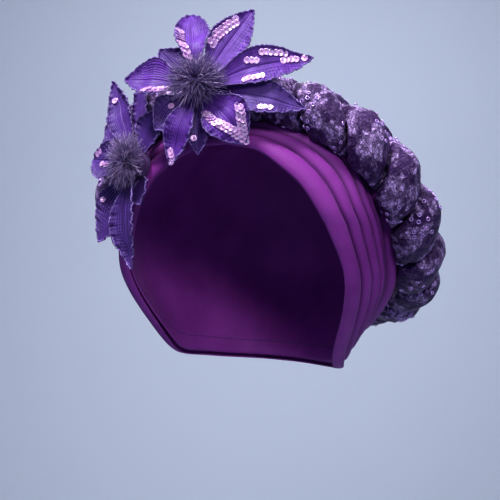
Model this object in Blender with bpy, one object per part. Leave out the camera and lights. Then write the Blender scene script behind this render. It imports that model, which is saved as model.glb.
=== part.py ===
"""A tied head tie: a jersey cap, a pleated front in two panels, a ring plaited from three padded strands
and two lace flowers.

Metres, +Z up. The wearer looks along -Y, so the wearer's left is +X. The origin is the middle of the
head at its widest level. A place on the head is given by two angles in degrees: around, from the front
towards the wearer's left, and up, from the widest level towards the crown.
"""

from collections import namedtuple

import bmesh
import bpy
import numpy as np
from mathutils import Matrix, Vector
from mathutils.bvhtree import BVHTree

# The head that the cap fits
HEAD_HALF_WIDTH = 0.083
HEAD_FRONT_DEPTH = 0.098
HEAD_BACK_DEPTH = 0.106
CROWN_HEIGHT = 0.071
NAPE_DEPTH = 0.110
NAPE_TAPER = 0.40
TAPER_STARTS = 0.23
TAPER_ENDS = 0.91

# Cloth walls, and the gap that neighbouring pieces keep
CAP_WALL = 0.0015
PANEL_WALL = 0.0015
PETAL_WALL = 0.0012
CLEARANCE = 0.0003
FACET_ALLOWANCE = 0.0013

# Jersey folds
PLEAT_HEIGHT = 0.0028
GATHER_HEIGHT = 0.0010
GATHERS = 12
GATHERS_START = 0.45
PANEL_SPLIT = 0.0006
PANEL_UNDERLAP = 0.30
CAP_HEM_RISE = 3.0

# The plaited ring at its full size. Its front edge stands higher than its back edge by twice the tilt,
# the undersides settle on the cloth, and on the wearer's right it passes further back, in degrees.
STRAND_HALF_WIDTH = 0.0185
STRAND_HALF_THICKNESS = 0.0138
STRAND_SETTLE = 1.5
PLAIT_SWING = 0.0130
PLAIT_LIFT = 0.0045
PLAIT_TILT = 0.0060
RING_SINK = 0.0112
PLAIT_PERIODS = 7
PLAIT_PHASE = 21.0
PLAIT_SETBACK = 9.0
STRAND_GAP = 0.0034
STRANDS = 3

# The flowers
PETAL_LENGTH = 0.064
PETAL_WIDTH = 0.027
PETAL_REST = 0.0020
PETAL_SPACE = 0.0016
PETAL_CLIMB = 0.0080
BASE_RADIUS = 0.0090
BASE_HEIGHT = 0.0108
BASE_BEVEL = 0.0008
TUFT_RADIUS = 0.0100
TUFT_FLATNESS = 0.80
TUFT_LOCK = 0.0090
TUFT_LOCK_TIP = 0.25
TUFT_LOWEST_LOCK = 0.30

# How finely the curved pieces are faceted
CAP_COLUMNS = 36
CAP_ROWS = 8
PANEL_COLUMNS = 24
STRAND_RINGS = 91
STRAND_SIDES = 8
PETAL_ROWS = 6
PETAL_COLUMNS = 4
BASE_SIDES = 14
TUFT_SUBDIVISIONS = 2
SHARP_ANGLE = 45
REST_SAMPLES = 4
PATH_SAMPLES = 720
SHRINK_STEPS = 16

# From the rim to the plait's front edge, front middle to nape middle, in degrees
PanelRow = namedtuple("PanelRow", "rim_around rim_up edge_around edge_up")
PANEL_ROWS = (
    PanelRow(0, 36, 0, 59),
    PanelRow(15, 33, 24, 59),
    PanelRow(26, 25, 50, 56),
    PanelRow(34, 17, 66, 41),
    PanelRow(45, 0, 74, 13),
    PanelRow(54, -12, 85, -9),
    PanelRow(63, -27, 95, -25),
    PanelRow(74, -41, 108, -34),
    PanelRow(90, -54, 130, -39),
    PanelRow(125, -59, 155, -41),
    PanelRow(180, -60, 180, -42),
)

# The pleats between the rim and the plait: where across the panel, and how high of PLEAT_HEIGHT
PleatRow = namedtuple("PleatRow", "across height")
PLEAT_ROWS = (
    PleatRow(0.00, 0.45),
    PleatRow(0.07, 1.00),
    PleatRow(0.20, 0.95),
    PleatRow(0.27, 0.00),
    PleatRow(0.32, 0.95),
    PleatRow(0.42, 0.90),
    PleatRow(0.47, 0.00),
    PleatRow(0.52, 0.90),
    PleatRow(0.62, 0.80),
    PleatRow(0.67, 0.00),
    PleatRow(0.72, 0.75),
    PleatRow(0.81, 0.00),
    PleatRow(0.87, 0.40),
    PleatRow(0.95, 0.00),
    PleatRow(1.00 + PANEL_UNDERLAP, 0.00),
)

# The plait's middle line, front to nape, in degrees, and its section as a share of the full size
BraidRow = namedtuple("BraidRow", "around up size")
BRAID_ROWS = (
    BraidRow(0, 58, 0.83),
    BraidRow(30, 57, 0.83),
    BraidRow(56, 46, 0.86),
    BraidRow(70, 33, 0.89),
    BraidRow(80, 20, 0.90),
    BraidRow(87, 9, 0.91),
    BraidRow(97, -2, 0.91),
    BraidRow(106, -10, 0.85),
    BraidRow(120, -16, 0.77),
    BraidRow(145, -20, 0.72),
    BraidRow(180, -22, 0.70),
)

# A petal's outline: along its length, and its half width as a share of the half of PETAL_WIDTH
OutlineRow = namedtuple("OutlineRow", "along half_width")
OUTLINE_ROWS = (
    OutlineRow(0.00, 0.24),
    OutlineRow(0.15, 0.50),
    OutlineRow(0.35, 0.90),
    OutlineRow(0.50, 1.00),
    OutlineRow(0.68, 0.82),
    OutlineRow(0.85, 0.44),
    OutlineRow(1.00, 0.04),
)

# A row of petals: its height on the backing as a share, and how far its petals turn on their length
RowPlan = namedtuple("RowPlan", "height twist")
BACK = RowPlan(0.10, 0)
FRONT = RowPlan(0.36, 8)

# Each petal: its angle round the flower from the right, the rise of its root and of its tip in degrees,
# its length, width and cupping as shares, and its row
Petal = namedtuple("Petal", "angle root tip length width cup row")
FRONT_PETALS = (
    Petal(-8, 0, 0, 0.90, 0.85, 0.10, BACK),
    Petal(-84, 0, -25, 0.50, 0.60, 0.15, BACK),
    Petal(-130, 0, -10, 0.42, 0.90, 0.10, BACK),
    Petal(138, 5, 5, 0.42, 0.85, 0.10, BACK),
    Petal(62, 10, -5, 0.80, 0.92, 0.14, FRONT),
    Petal(103, 12, -45, 0.84, 0.80, 0.16, FRONT),
    Petal(20, 2, -5, 0.98, 0.86, 0.12, FRONT),
    Petal(-45, 5, -40, 0.60, 1.10, 0.12, FRONT),
    Petal(-104, 5, -35, 0.66, 0.66, 0.14, FRONT),
    Petal(176, 10, -18, 0.58, 1.00, 0.16, FRONT),
)
SIDE_PETALS = (
    Petal(-60, 20, 5, 0.32, 0.72, 0.12, BACK),
    Petal(100, 5, 5, 0.82, 0.55, 0.12, BACK),
    Petal(146, 15, 5, 0.56, 0.95, 0.12, BACK),
    Petal(-119, 0, 5, 0.74, 1.35, 0.12, BACK),
    Petal(68, 8, -15, 0.45, 0.85, 0.12, FRONT),
    Petal(119, 12, 10, 0.80, 0.75, 0.14, FRONT),
    Petal(177, 12, 10, 0.50, 0.95, 0.14, FRONT),
    Petal(-80, 5, -10, 0.88, 1.10, 0.12, FRONT),
)

# Where a flower sits on the head, and the way it faces: degrees to the wearer's left of straight ahead
# and degrees up
FlowerPlan = namedtuple("FlowerPlan", "name around up turn tilt petals")
FLOWERS = (
    FlowerPlan("flower_front", -34, 56, 10, 20, FRONT_PETALS),
    FlowerPlan("flower_side", -41, 21, -32, 8, SIDE_PETALS),
)

Finish = namedtuple("Finish", "name colour roughness")
JERSEY = Finish("jersey", (0.205, 0.030, 0.300), 0.62)
LACE = Finish("sequin_lace", (0.040, 0.012, 0.085), 0.48)
ORGANZA = Finish("petal_organza", (0.085, 0.030, 0.330), 0.40)
FRINGE = Finish("fringe", (0.018, 0.014, 0.026), 0.70)
FELT = Finish("backing_felt", (0.030, 0.010, 0.060), 0.90)


def clear_scene():
    """Removes whatever the scene holds."""
    for item in list(bpy.data.objects):
        bpy.data.objects.remove(item, do_unlink=True)


def make_material(finish):
    """A plain material with the finish's colour and roughness."""
    material = bpy.data.materials.new(finish.name)
    material.use_nodes = True
    shader = material.node_tree.nodes["Principled BSDF"]
    shader.inputs["Base Color"].default_value = (*finish.colour, 1)
    shader.inputs["Roughness"].default_value = finish.roughness
    shader.inputs["Metallic"].default_value = 0
    return material


def smooth_rows(rows, shares):
    """Values of the rows' columns along a smooth curve through them, at shares of its length."""
    table = np.array(rows, float)
    steps = np.linalg.norm(np.diff(table, axis=0), axis=1)
    length = np.concatenate([[0], np.cumsum(steps)])
    length /= length[-1]
    slopes = np.gradient(table, length, axis=0)
    index = np.clip(np.searchsorted(length, shares, side="right") - 1, 0, len(length) - 2)
    span = (length[index + 1] - length[index])[:, None]
    t = (shares - length[index])[:, None] / span
    start, end = table[index], table[index + 1]
    from_start = start * (1 + 2 * t) * (1 - t) ** 2 + slopes[index] * span * t * (1 - t) ** 2
    to_end = end * t * t * (3 - 2 * t) + slopes[index + 1] * span * t * t * (t - 1)
    return from_start + to_end


def both_sides(rows):
    """The rows from the nape round the wearer's right, over the front and round the left to the nape."""
    left = np.array(rows, float)
    right = left[:0:-1].copy()
    right[:, 0] *= -1
    return np.vstack([right, left])


def head_form(around, up):
    """Points of the head's surface."""
    turn, rise = np.radians(around), np.radians(up)
    above = rise >= 0
    height = np.where(above, CROWN_HEIGHT, NAPE_DEPTH) * np.sin(rise)
    share = (-height / NAPE_DEPTH - TAPER_STARTS) / (TAPER_ENDS - TAPER_STARTS)
    share = np.clip(share, 0, 1)
    radius = np.where(above, np.cos(rise), 1 - NAPE_TAPER * share * share * (3 - 2 * share))
    depth = np.where(np.cos(turn) > 0, HEAD_FRONT_DEPTH, HEAD_BACK_DEPTH)
    return np.stack(
        [HEAD_HALF_WIDTH * radius * np.sin(turn), -depth * radius * np.cos(turn), height], axis=-1
    )


def unit(vectors):
    """The vectors at length one."""
    return vectors / np.linalg.norm(vectors, axis=-1, keepdims=True)


def head_normal(around, up, step=0.3):
    """The head's outward direction."""
    sideways = head_form(around + step, up) - head_form(around - step, up)
    upwards = head_form(around, up + step) - head_form(around, up - step)
    return unit(np.cross(sideways, upwards))


def over_head(around, up, offset):
    """Points at a distance outside the head's surface."""
    return head_form(around, up) + head_normal(around, up) * np.asarray(offset)[..., None]


def add_object(name, points, faces, material, parent=None):
    """An object with its own mesh and material, shaded smooth."""
    mesh = bpy.data.meshes.new(name)
    mesh.from_pydata([tuple(point) for point in points], [], faces)
    mesh.shade_smooth()
    mesh.materials.append(material)
    item = bpy.data.objects.new(name, mesh)
    bpy.context.scene.collection.objects.link(item)
    item.parent = parent
    return item


def thicken(item, wall, side):
    """Gives a surface its wall: 1 outside it, -1 inside it, 0 half on each side."""
    modifier = item.modifiers.new("wall", "SOLIDIFY")
    modifier.thickness = wall
    modifier.offset = side


def grid_faces(rows, columns, around=False):
    """Quads between the points of a grid, whose rows may close on themselves."""
    last = columns if around else columns - 1
    faces = []
    for row in range(rows - 1):
        for column in range(last):
            beside = (column + 1) % columns
            here, above = row * columns, (row + 1) * columns
            faces.append((here + column, here + beside, above + beside, above + column))
    return faces


def make_cap(material):
    """The crown, from under the panels' rim to the top of the head."""
    rim = smooth_rows(both_sides([row[:2] for row in PANEL_ROWS]), np.arange(CAP_COLUMNS) / CAP_COLUMNS)
    around = np.repeat(rim[None, :, 0], CAP_ROWS, axis=0)
    share = np.arange(CAP_ROWS)[:, None] / CAP_ROWS
    up = (rim[None, :, 1] + CAP_HEM_RISE) * (1 - share) + 90 * share
    inside = np.clip((share - GATHERS_START) / (1 - GATHERS_START), 0, 1)
    gathers = 0.5 + 0.5 * np.cos(np.radians(around) * GATHERS)
    points = over_head(around, up, GATHER_HEIGHT * gathers * np.sin(np.pi * inside))
    points = points.reshape(-1, 3)
    faces = grid_faces(CAP_ROWS, CAP_COLUMNS, around=True)
    last = (CAP_ROWS - 1) * CAP_COLUMNS
    crown = len(points)
    faces += [(last + i, last + (i + 1) % CAP_COLUMNS, crown) for i in range(CAP_COLUMNS)]
    item = add_object("cap", [*points, (0, 0, CROWN_HEIGHT)], faces, material)
    thicken(item, CAP_WALL, 1)
    return item


def panel_seat():
    """How far the panels' inner face lies outside the head."""
    return CAP_WALL + CLEARANCE + FACET_ALLOWANCE


def make_panel(name, side, material):
    """A pleated panel from the front middle to the nape middle; side is 1 on the wearer's left."""
    rows = smooth_rows(PANEL_ROWS, np.linspace(0, 1, PANEL_COLUMNS + 1))
    across = np.array([row.across for row in PLEAT_ROWS])[:, None]
    height = np.array([row.height for row in PLEAT_ROWS])[:, None]
    around = rows[:, 0] * (1 - across) + rows[:, 2] * across
    up = rows[:, 1] * (1 - across) + rows[:, 3] * across
    offset = panel_seat() + PANEL_WALL + PLEAT_HEIGHT * height * np.ones_like(around)
    points = over_head(around, up, offset)
    points[:, [0, -1], 0] = PANEL_SPLIT / 2
    points[..., 0] *= side
    faces = grid_faces(len(PLEAT_ROWS), PANEL_COLUMNS + 1)
    if side < 0:
        faces = [face[::-1] for face in faces]
    item = add_object(name, points.reshape(-1, 3), faces, material)
    thicken(item, PANEL_WALL, -1)
    return item


def ring_stations(count):
    """The plait's even stations from the nape: middle, across, outwards and section size."""
    rows = smooth_rows(both_sides(BRAID_ROWS), np.linspace(0, 1, PATH_SAMPLES + 1))
    rows[:, 0] -= PLAIT_SETBACK * np.where(rows[:, 0] < 0, np.sin(np.radians(rows[:, 0])) ** 2, 0)
    seat = panel_seat() + PANEL_WALL + 2 * CLEARANCE + FACET_ALLOWANCE
    middle = over_head(rows[:, 0], rows[:, 1], seat + RING_SINK * rows[:, 2])
    steps = np.linalg.norm(np.diff(middle, axis=0), axis=1)
    length = np.concatenate([[0], np.cumsum(steps)])
    even = np.arange(count) * length[-1] / count
    around, up, size = (np.interp(even, length, rows[:, column]) for column in range(3))
    middle = over_head(around, up, seat + RING_SINK * size)
    outwards = head_normal(around, up)
    forward = np.roll(middle, -1, axis=0) - np.roll(middle, 1, axis=0)
    across = unit(np.cross(outwards, forward))
    return middle, across, outwards, size


def strand_line(stations, strand, lifted=True):
    """A strand's middle line through the plait's stations."""
    middle, across, outwards, size = stations
    share = np.arange(len(size)) / len(size)
    phase = np.radians(PLAIT_PHASE) + 2 * np.pi * (PLAIT_PERIODS * share + strand / STRANDS)
    swing = PLAIT_SWING * np.sin(phase)
    rise = PLAIT_LIFT * np.sin(2 * phase) * lifted - PLAIT_TILT * np.sin(phase)
    return middle + across * (swing * size)[:, None] + outwards * (rise * size)[:, None]


def nearest(points, line):
    """Each point's distance from the closest point of a line."""
    flat = points.reshape(-1, 3)
    squares = (flat**2).sum(1)[:, None] - 2 * flat @ line.T + (line**2).sum(1)
    return np.sqrt(np.maximum(squares.min(axis=1), 0)).reshape(points.shape[:-1])


def strand_points(strand, rings, sides):
    """Rings of points round a strand, pressed flat against its neighbours and against the panels."""
    fine = ring_stations(PATH_SAMPLES)
    own = strand_line(fine, strand)
    others = np.vstack([strand_line(fine, other) for other in range(STRANDS) if other != strand])
    stations = ring_stations(rings)
    middle, _, outwards, size = stations
    centre = strand_line(stations, strand)
    flat = strand_line(stations, strand, lifted=False)
    forward = np.roll(flat, -1, axis=0) - np.roll(flat, 1, axis=0)
    sideways = unit(np.cross(outwards, forward))
    angle = 2 * np.pi * (np.arange(sides) + 0.5) / sides
    wide = STRAND_HALF_WIDTH * np.cos(angle)[None, :, None] * sideways[:, None, :]
    height = STRAND_HALF_THICKNESS * np.where(np.sin(angle) < 0, STRAND_SETTLE, 1) * np.sin(angle)
    thick = height[None, :, None] * outwards[:, None, :]
    spoke = (wide + thick) * size[:, None, None]
    down = -(spoke * outwards[:, None, :]).sum(-1)
    room = RING_SINK * size + ((centre - middle) * outwards).sum(-1)
    reach = np.where(down > 0, np.minimum(1, room[:, None] / np.maximum(down, 1e-9)), 1)
    share = np.arange(1, SHRINK_STEPS + 1) / SHRINK_STEPS
    tries = centre[:, None, None] + spoke[:, :, None] * (reach[:, :, None] * share)[..., None]
    spare = nearest(tries, others) - nearest(tries, own) - STRAND_GAP
    free = np.argmax(np.concatenate([spare < 0, np.ones_like(spare[..., :1], bool)], -1), axis=-1)
    before = np.take_along_axis(spare, np.maximum(free - 1, 0)[..., None], -1)[..., 0]
    after = np.take_along_axis(spare, np.minimum(free, SHRINK_STEPS - 1)[..., None], -1)[..., 0]
    part = np.where((free > 0) & (free < SHRINK_STEPS), before / np.maximum(before - after, 1e-9), 0)
    reach = reach * np.maximum(free + part, 1) / SHRINK_STEPS
    return centre[:, None] + spoke * reach[..., None]


def make_strand(strand, material):
    """One padded strand of the plait, a closed ring."""
    points = strand_points(strand, STRAND_RINGS, STRAND_SIDES)
    faces = grid_faces(STRAND_RINGS, STRAND_SIDES, around=True)
    last = (STRAND_RINGS - 1) * STRAND_SIDES
    for side in range(STRAND_SIDES):
        beside = (side + 1) % STRAND_SIDES
        faces.append((last + side, last + beside, beside, side))
    return add_object(f"braid_strand_{strand + 1}", points.reshape(-1, 3), faces, material)


def world_tree(items):
    """The evaluated surfaces of these objects in one search tree."""
    bpy.context.view_layer.update()
    graph = bpy.context.evaluated_depsgraph_get()
    points, faces = [], []
    for item in items:
        evaluated = item.evaluated_get(graph)
        mesh = evaluated.to_mesh()
        first = len(points)
        points += [item.matrix_world @ vertex.co for vertex in mesh.vertices]
        faces += [[first + corner for corner in polygon.vertices] for polygon in mesh.polygons]
        evaluated.to_mesh_clear()
    return BVHTree.FromPolygons(points, faces)


def seat_flower(plan, cloth):
    """An empty where the flower's backing rests on the cloth, with its axis as local Z."""
    turn, tilt = np.radians(plan.turn), np.radians(plan.tilt)
    axis = np.array([np.sin(turn) * np.cos(tilt), -np.cos(turn) * np.cos(tilt), np.sin(tilt)])
    right = np.array([np.cos(turn), np.sin(turn), 0])
    up = np.cross(axis, right)
    foot = over_head(float(plan.around), float(plan.up), panel_seat())
    far = HEAD_HALF_WIDTH
    highest = 0
    for radius in np.linspace(0, 1, 3):
        for angle in np.linspace(0, 2 * np.pi, 2 * BASE_SIDES, endpoint=False):
            spread = BASE_RADIUS * radius * (np.cos(angle) * right + np.sin(angle) * up)
            hit = cloth.ray_cast(Vector(foot + spread + axis * far), Vector(-axis), far)
            if hit[3] is not None:
                highest = max(highest, far - hit[3])
    mount = bpy.data.objects.new(f"{plan.name}_place", None)
    bpy.context.scene.collection.objects.link(mount)
    mount.matrix_world = Matrix(np.column_stack([right, up, axis])).to_4x4()
    mount.location = foot + axis * (highest + CLEARANCE)
    bpy.context.view_layer.update()
    return mount


def make_base(plan, mount, material):
    """The felt backing that holds the petals, with a rounded edge."""
    mesh = bmesh.new()
    bmesh.ops.create_cone(
        mesh,
        cap_ends=True,
        segments=BASE_SIDES,
        radius1=BASE_RADIUS,
        radius2=BASE_RADIUS,
        depth=BASE_HEIGHT,
        matrix=Matrix.Translation((0, 0, BASE_HEIGHT / 2)),
    )
    rims = [edge for edge in mesh.edges if abs(edge.verts[0].co.z - edge.verts[1].co.z) < BASE_BEVEL]
    bmesh.ops.bevel(mesh, geom=rims, offset=BASE_BEVEL, segments=1, affect="EDGES", profile=0.5)
    item = add_object(f"{plan.name}_base", [], [], material, mount)
    mesh.to_mesh(item.data)
    mesh.free()
    item.data.shade_smooth()
    item.data.set_sharp_from_angle(angle=np.radians(SHARP_ANGLE))
    return item


def petal_grid(petal, rows, columns):
    """A petal's surface in its flower's own frame: along the length, then across."""
    along = np.linspace(0, 1, rows + 1)
    length = PETAL_LENGTH * petal.length
    rise = np.radians(petal.root + (petal.tip - petal.root) * along)
    middle = (rise[1:] + rise[:-1]) / 2
    step = length / rows
    out = BASE_RADIUS + CLEARANCE
    radius = out + np.concatenate([[0], np.cumsum(np.cos(middle) * step)])
    height = BASE_HEIGHT * petal.row.height + np.concatenate([[0], np.cumsum(np.sin(middle) * step)])
    outline = np.interp(along, *np.array(OUTLINE_ROWS).T)
    half = PETAL_WIDTH / 2 * petal.width * outline
    across = np.linspace(-1, 1, columns + 1)
    turn, twist = np.radians(petal.angle), np.radians(petal.row.twist)
    away = np.array([np.cos(turn), np.sin(turn), 0])
    beside = np.array([-np.sin(turn), np.cos(turn), 0])
    axis = np.array([0, 0, 1])
    upright = np.cos(rise)[:, None] * axis - np.sin(rise)[:, None] * away
    sideways = np.cos(twist) * beside + np.sin(twist) * upright
    raised = np.cos(twist) * upright - np.sin(twist) * beside
    spine = radius[:, None] * away + height[:, None] * axis
    cup = petal.cup * PETAL_WIDTH * petal.width * outline[:, None] * across**2
    return (
        spine[:, None]
        + (half[:, None] * across)[..., None] * sideways[:, None]
        + cup[..., None] * raised[:, None]
    )


def cut_finer(grid, times):
    """The grid with its steps cut into this many, along and across."""
    for turn in range(2):
        share = np.arange(times * (len(grid) - 1) + 1) / times
        index = np.minimum(share.astype(int), len(grid) - 2)
        part = (share - index)[:, None, None]
        grid = (grid[index] * (1 - part) + grid[index + 1] * part).swapaxes(0, 1)
    return grid


def lay_over(grid, mount, under, space, climb):
    """Raises each row of a petal along the flower's axis until it clears what lies under it."""
    axis = mount.matrix_world.to_3x3() @ Vector((0, 0, 1))
    needed = []
    for row in cut_finer(grid, REST_SAMPLES):
        lift = 0
        for point in row:
            place = mount.matrix_world @ Vector(point)
            hit, _, _, _ = under.ray_cast(place + axis * climb, -axis, climb + space)
            if hit is not None:
                lift = max(lift, (hit - place).dot(axis) + space)
        needed.append(lift)
    for index, row in enumerate(grid):
        middle = index * REST_SAMPLES
        row[:, 2] += max(needed[max(middle - REST_SAMPLES + 1, 0) : middle + REST_SAMPLES])


def make_petals(plan, mount, material, cloth, petals):
    """The flower's petals, each laid over the cloth and the petals made before it."""
    for number, petal in enumerate(plan.petals, 1):
        grid = petal_grid(petal, PETAL_ROWS, PETAL_COLUMNS)
        lay_over(grid, mount, cloth, PETAL_REST, PETAL_LENGTH)
        if petals:
            lay_over(grid, mount, world_tree(petals), PETAL_SPACE, PETAL_CLIMB)
        faces = grid_faces(PETAL_ROWS + 1, PETAL_COLUMNS + 1)
        item = add_object(f"{plan.name}_petal_{number}", grid.reshape(-1, 3), faces, material, mount)
        thicken(item, PETAL_WALL, 0)
        petals.append(item)


def make_tuft(plan, mount, material):
    """The flower's fringed centre: a head with locks drawn out of it, all one body."""
    mesh = bmesh.new()
    bmesh.ops.create_icosphere(mesh, subdivisions=round(TUFT_SUBDIVISIONS), radius=TUFT_RADIUS)
    for vertex in mesh.verts:
        vertex.co.z = max(vertex.co.z, 0) * TUFT_FLATNESS
    mesh.normal_update()
    bottom = [face for face in mesh.faces if all(corner.co.z <= 1e-7 for corner in face.verts)]
    bmesh.ops.dissolve_faces(mesh, faces=bottom)
    upper = [
        face for face in mesh.faces if face.calc_center_median().z > TUFT_LOWEST_LOCK * TUFT_RADIUS
    ]
    locks = bmesh.ops.extrude_discrete_faces(mesh, faces=upper)["faces"]
    for lock in locks:
        centre = lock.calc_center_median()
        tip = centre + centre.normalized() * TUFT_LOCK
        for corner in lock.verts:
            corner.co = tip + (corner.co - centre) * TUFT_LOCK_TIP
    bmesh.ops.translate(mesh, verts=mesh.verts, vec=(0, 0, BASE_HEIGHT + CLEARANCE))
    item = add_object(f"{plan.name}_centre", [], [], material, mount)
    mesh.to_mesh(item.data)
    mesh.free()
    item.data.shade_smooth()
    item.data.set_sharp_from_angle(angle=np.radians(SHARP_ANGLE))
    return item


def main():
    clear_scene()
    jersey, lace, organza, fringe, felt = map(make_material, (JERSEY, LACE, ORGANZA, FRINGE, FELT))
    cap = make_cap(jersey)
    left = make_panel("pleat_panel_left", 1, jersey)
    right = make_panel("pleat_panel_right", -1, jersey)
    strands = [make_strand(strand, lace) for strand in range(STRANDS)]
    cloth = world_tree([cap, left, right, *strands])
    petals = []
    for plan in FLOWERS:
        mount = seat_flower(plan, cloth)
        make_base(plan, mount, felt)
        make_petals(plan, mount, organza, cloth, petals)
        make_tuft(plan, mount, fringe)


if __name__ == "__main__":
    main()
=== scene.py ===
"""A tied head tie: a jersey cap, a pleated front, a ring plaited from three padded lace strands, two flowers.

Metres, +Z up. The wearer looks along -Y, so the wearer's left is +X. A place on the head is given in
degrees: around, from the front towards the wearer's left, and up, from the widest level to the crown.
"""

import logging
from dataclasses import dataclass, field
from enum import Enum
from typing import NamedTuple

import bpy
import numpy as np
from mathutils import Matrix, Vector, noise
from mathutils.bvhtree import BVHTree


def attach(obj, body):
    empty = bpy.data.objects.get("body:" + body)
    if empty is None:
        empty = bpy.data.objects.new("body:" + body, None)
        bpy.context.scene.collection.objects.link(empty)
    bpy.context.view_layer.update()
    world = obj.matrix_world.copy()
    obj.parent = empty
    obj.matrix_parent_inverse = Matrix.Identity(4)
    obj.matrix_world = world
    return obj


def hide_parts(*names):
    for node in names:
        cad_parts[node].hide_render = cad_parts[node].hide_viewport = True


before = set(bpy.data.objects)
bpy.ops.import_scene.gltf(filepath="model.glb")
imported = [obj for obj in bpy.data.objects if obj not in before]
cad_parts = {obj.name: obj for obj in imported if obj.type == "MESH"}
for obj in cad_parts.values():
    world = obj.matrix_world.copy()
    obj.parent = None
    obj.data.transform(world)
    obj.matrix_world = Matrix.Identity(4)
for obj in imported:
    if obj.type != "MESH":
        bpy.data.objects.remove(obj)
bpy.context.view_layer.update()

LOG = logging.getLogger("head_tie")

Colour = tuple[float, float, float]
Spot = tuple[float, float, float]
Spread = tuple[float, float]
Socket = bpy.types.NodeSocket
Value = Socket | float | tuple
Finish = bpy.types.Material
Item = bpy.types.Object
Array = np.ndarray


class Slot(Enum):
    """The record's material slots."""

    JERSEY = "jersey"
    LACE = "sequin_lace"
    ORGANZA = "petal_organza"
    FRINGE = "fringe"
    FELT = "backing_felt"


class PanelRow(NamedTuple):
    """A pair of places, in degrees: on the rim, and at the plait's front edge."""

    rim_around: float
    rim_up: float
    edge_around: float
    edge_up: float


PANEL_ROWS = tuple(
    PanelRow(*row)
    for row in (
        (0, 36, 0, 59), (15, 33, 24, 59), (26, 25, 50, 56), (34, 17, 66, 41), (45, 0, 74, 13),
        (54, -12, 85, -9), (63, -27, 95, -25), (74, -41, 108, -34), (90, -54, 130, -39),
        (125, -59, 155, -41), (180, -60, 180, -42),
    )
)


class BraidRow(NamedTuple):
    """A place of the plait's middle line, in degrees, and its section as a share of the full size."""

    around: float
    up: float
    size: float


BRAID_ROWS = tuple(
    BraidRow(*row)
    for row in (
        (0, 58, 0.83), (30, 57, 0.83), (56, 46, 0.86), (70, 33, 0.89), (80, 20, 0.90), (87, 9, 0.91),
        (97, -2, 0.91), (106, -10, 0.85), (120, -16, 0.77), (145, -20, 0.72), (180, -22, 0.70),
    )
)


class Pleat(NamedTuple):
    """A fold of the pleated front: where it ends across the panel, and its height as a share."""

    end: float
    height: float


PLEATS = tuple(
    Pleat(*row)
    for row in (
        (0.27, 1.00), (0.47, 0.95), (0.67, 0.90), (0.81, 0.75), (0.95, 0.40),
    )
)


class OutlineRow(NamedTuple):
    """A petal's half width at a share of its length, as a share of the half of its full width."""

    along: float
    half_width: float


OUTLINE_ROWS = tuple(
    OutlineRow(*row)
    for row in (
        (0.00, 0.24), (0.15, 0.50), (0.35, 0.90), (0.50, 1.00), (0.68, 0.82), (0.85, 0.44), (1.00, 0.04),
    )
)


class RowPlan(NamedTuple):
    """A row of petals: its height on the backing as a share, and its petals' turn on their length."""

    height: float
    twist: float


BACK = RowPlan(0.10, 0)
FRONT = RowPlan(0.36, 8)


class Lamp(NamedTuple):
    """A soft round light: place, the spot it faces, size, power in watts, its beam in degrees, and colour."""

    name: str
    place: Spot
    aim: Spot
    size: float
    power: float
    spread: float
    colour: Colour


class Tint(Enum):
    """Which copy of the petal organza a petal takes: the lit one, or a darker copy that is painted shade for
    petals in shade.
    """

    LIT = "bright"
    SHADED = "deep"


class Run(NamedTuple):
    """A run of sequins on a petal: from and to, along and across, and how many stand side by side."""

    along: float
    across: float
    to_along: float
    to_across: float
    abreast: int


class Petal(NamedTuple):
    """A petal: its angle round the flower, rise of root and tip in degrees, shares, row, tint and sequins."""

    angle: float
    root: float
    tip: float
    length: float
    width: float
    cup: float
    row: RowPlan
    tint: Tint
    runs: tuple[Run, ...] = ()


class FlowerPlan(NamedTuple):
    """A flower: name, seat on the head, the way it faces in degrees, petals, fringe's seed and tone."""

    name: str
    around: float
    up: float
    turn: float
    tilt: float
    petals: tuple[Petal, ...]
    seed: int
    tone: float


UPPER_RUNS = (
    Run(0.53, 0.66, 0.74, 0.62, 1),
    Run(0.38, 0.47, 0.46, 0.31, 1),
    Run(0.66, 0.05, 0.84, 0.26, 1),
    Run(0.87, 0.45, 0.92, 0.30, 1),
    Run(0.26, -0.72, 0.47, -0.64, 1),
)
LOWER_RUNS = (Run(0.22, -0.72, 0.82, -0.10, 2), Run(0.50, 0.70, 0.93, 0.30, 2))
OUTER_RUNS = (Run(0.60, 0.19, 0.40, 0.19, 1), Run(0.82, -0.60, 0.76, -0.70, 1))
# The back rows and all of the side flower's petals take the darker copy of the organza, which is painted
# shade.
FRONT_PETALS = (
    Petal(-8, 0, 0, 0.90, 0.85, 0.10, BACK, Tint.SHADED, (Run(0.51, -0.66, 0.65, -0.62, 1),)),
    Petal(-84, 0, -25, 0.50, 0.60, 0.15, BACK, Tint.SHADED, (Run(0.62, -0.55, 0.70, -0.40, 1),)),
    Petal(-130, 0, -10, 0.42, 0.90, 0.10, BACK, Tint.SHADED, (Run(0.42, -0.42, 0.37, -0.25, 1),)),
    Petal(138, 5, 5, 0.42, 0.85, 0.10, BACK, Tint.SHADED),
    Petal(62, 10, -5, 0.80, 0.92, 0.14, FRONT, Tint.LIT, (Run(0.33, 0.76, 0.74, 0.50, 2),)),
    Petal(103, 12, -45, 0.84, 0.80, 0.16, FRONT, Tint.LIT, (Run(0.56, 0.74, 0.17, 0.66, 2),)),
    Petal(20, 2, -5, 0.98, 0.86, 0.12, FRONT, Tint.LIT, UPPER_RUNS),
    Petal(-45, 5, -40, 0.60, 1.10, 0.12, FRONT, Tint.LIT, LOWER_RUNS),
    Petal(-104, 5, -35, 0.66, 0.66, 0.14, FRONT, Tint.LIT, (Run(0.80, -0.40, 0.94, 0.20, 1),)),
    Petal(176, 10, -18, 0.58, 1.00, 0.16, FRONT, Tint.LIT, (Run(0.60, 0.74, 0.24, 0.78, 2),)),
)
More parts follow.
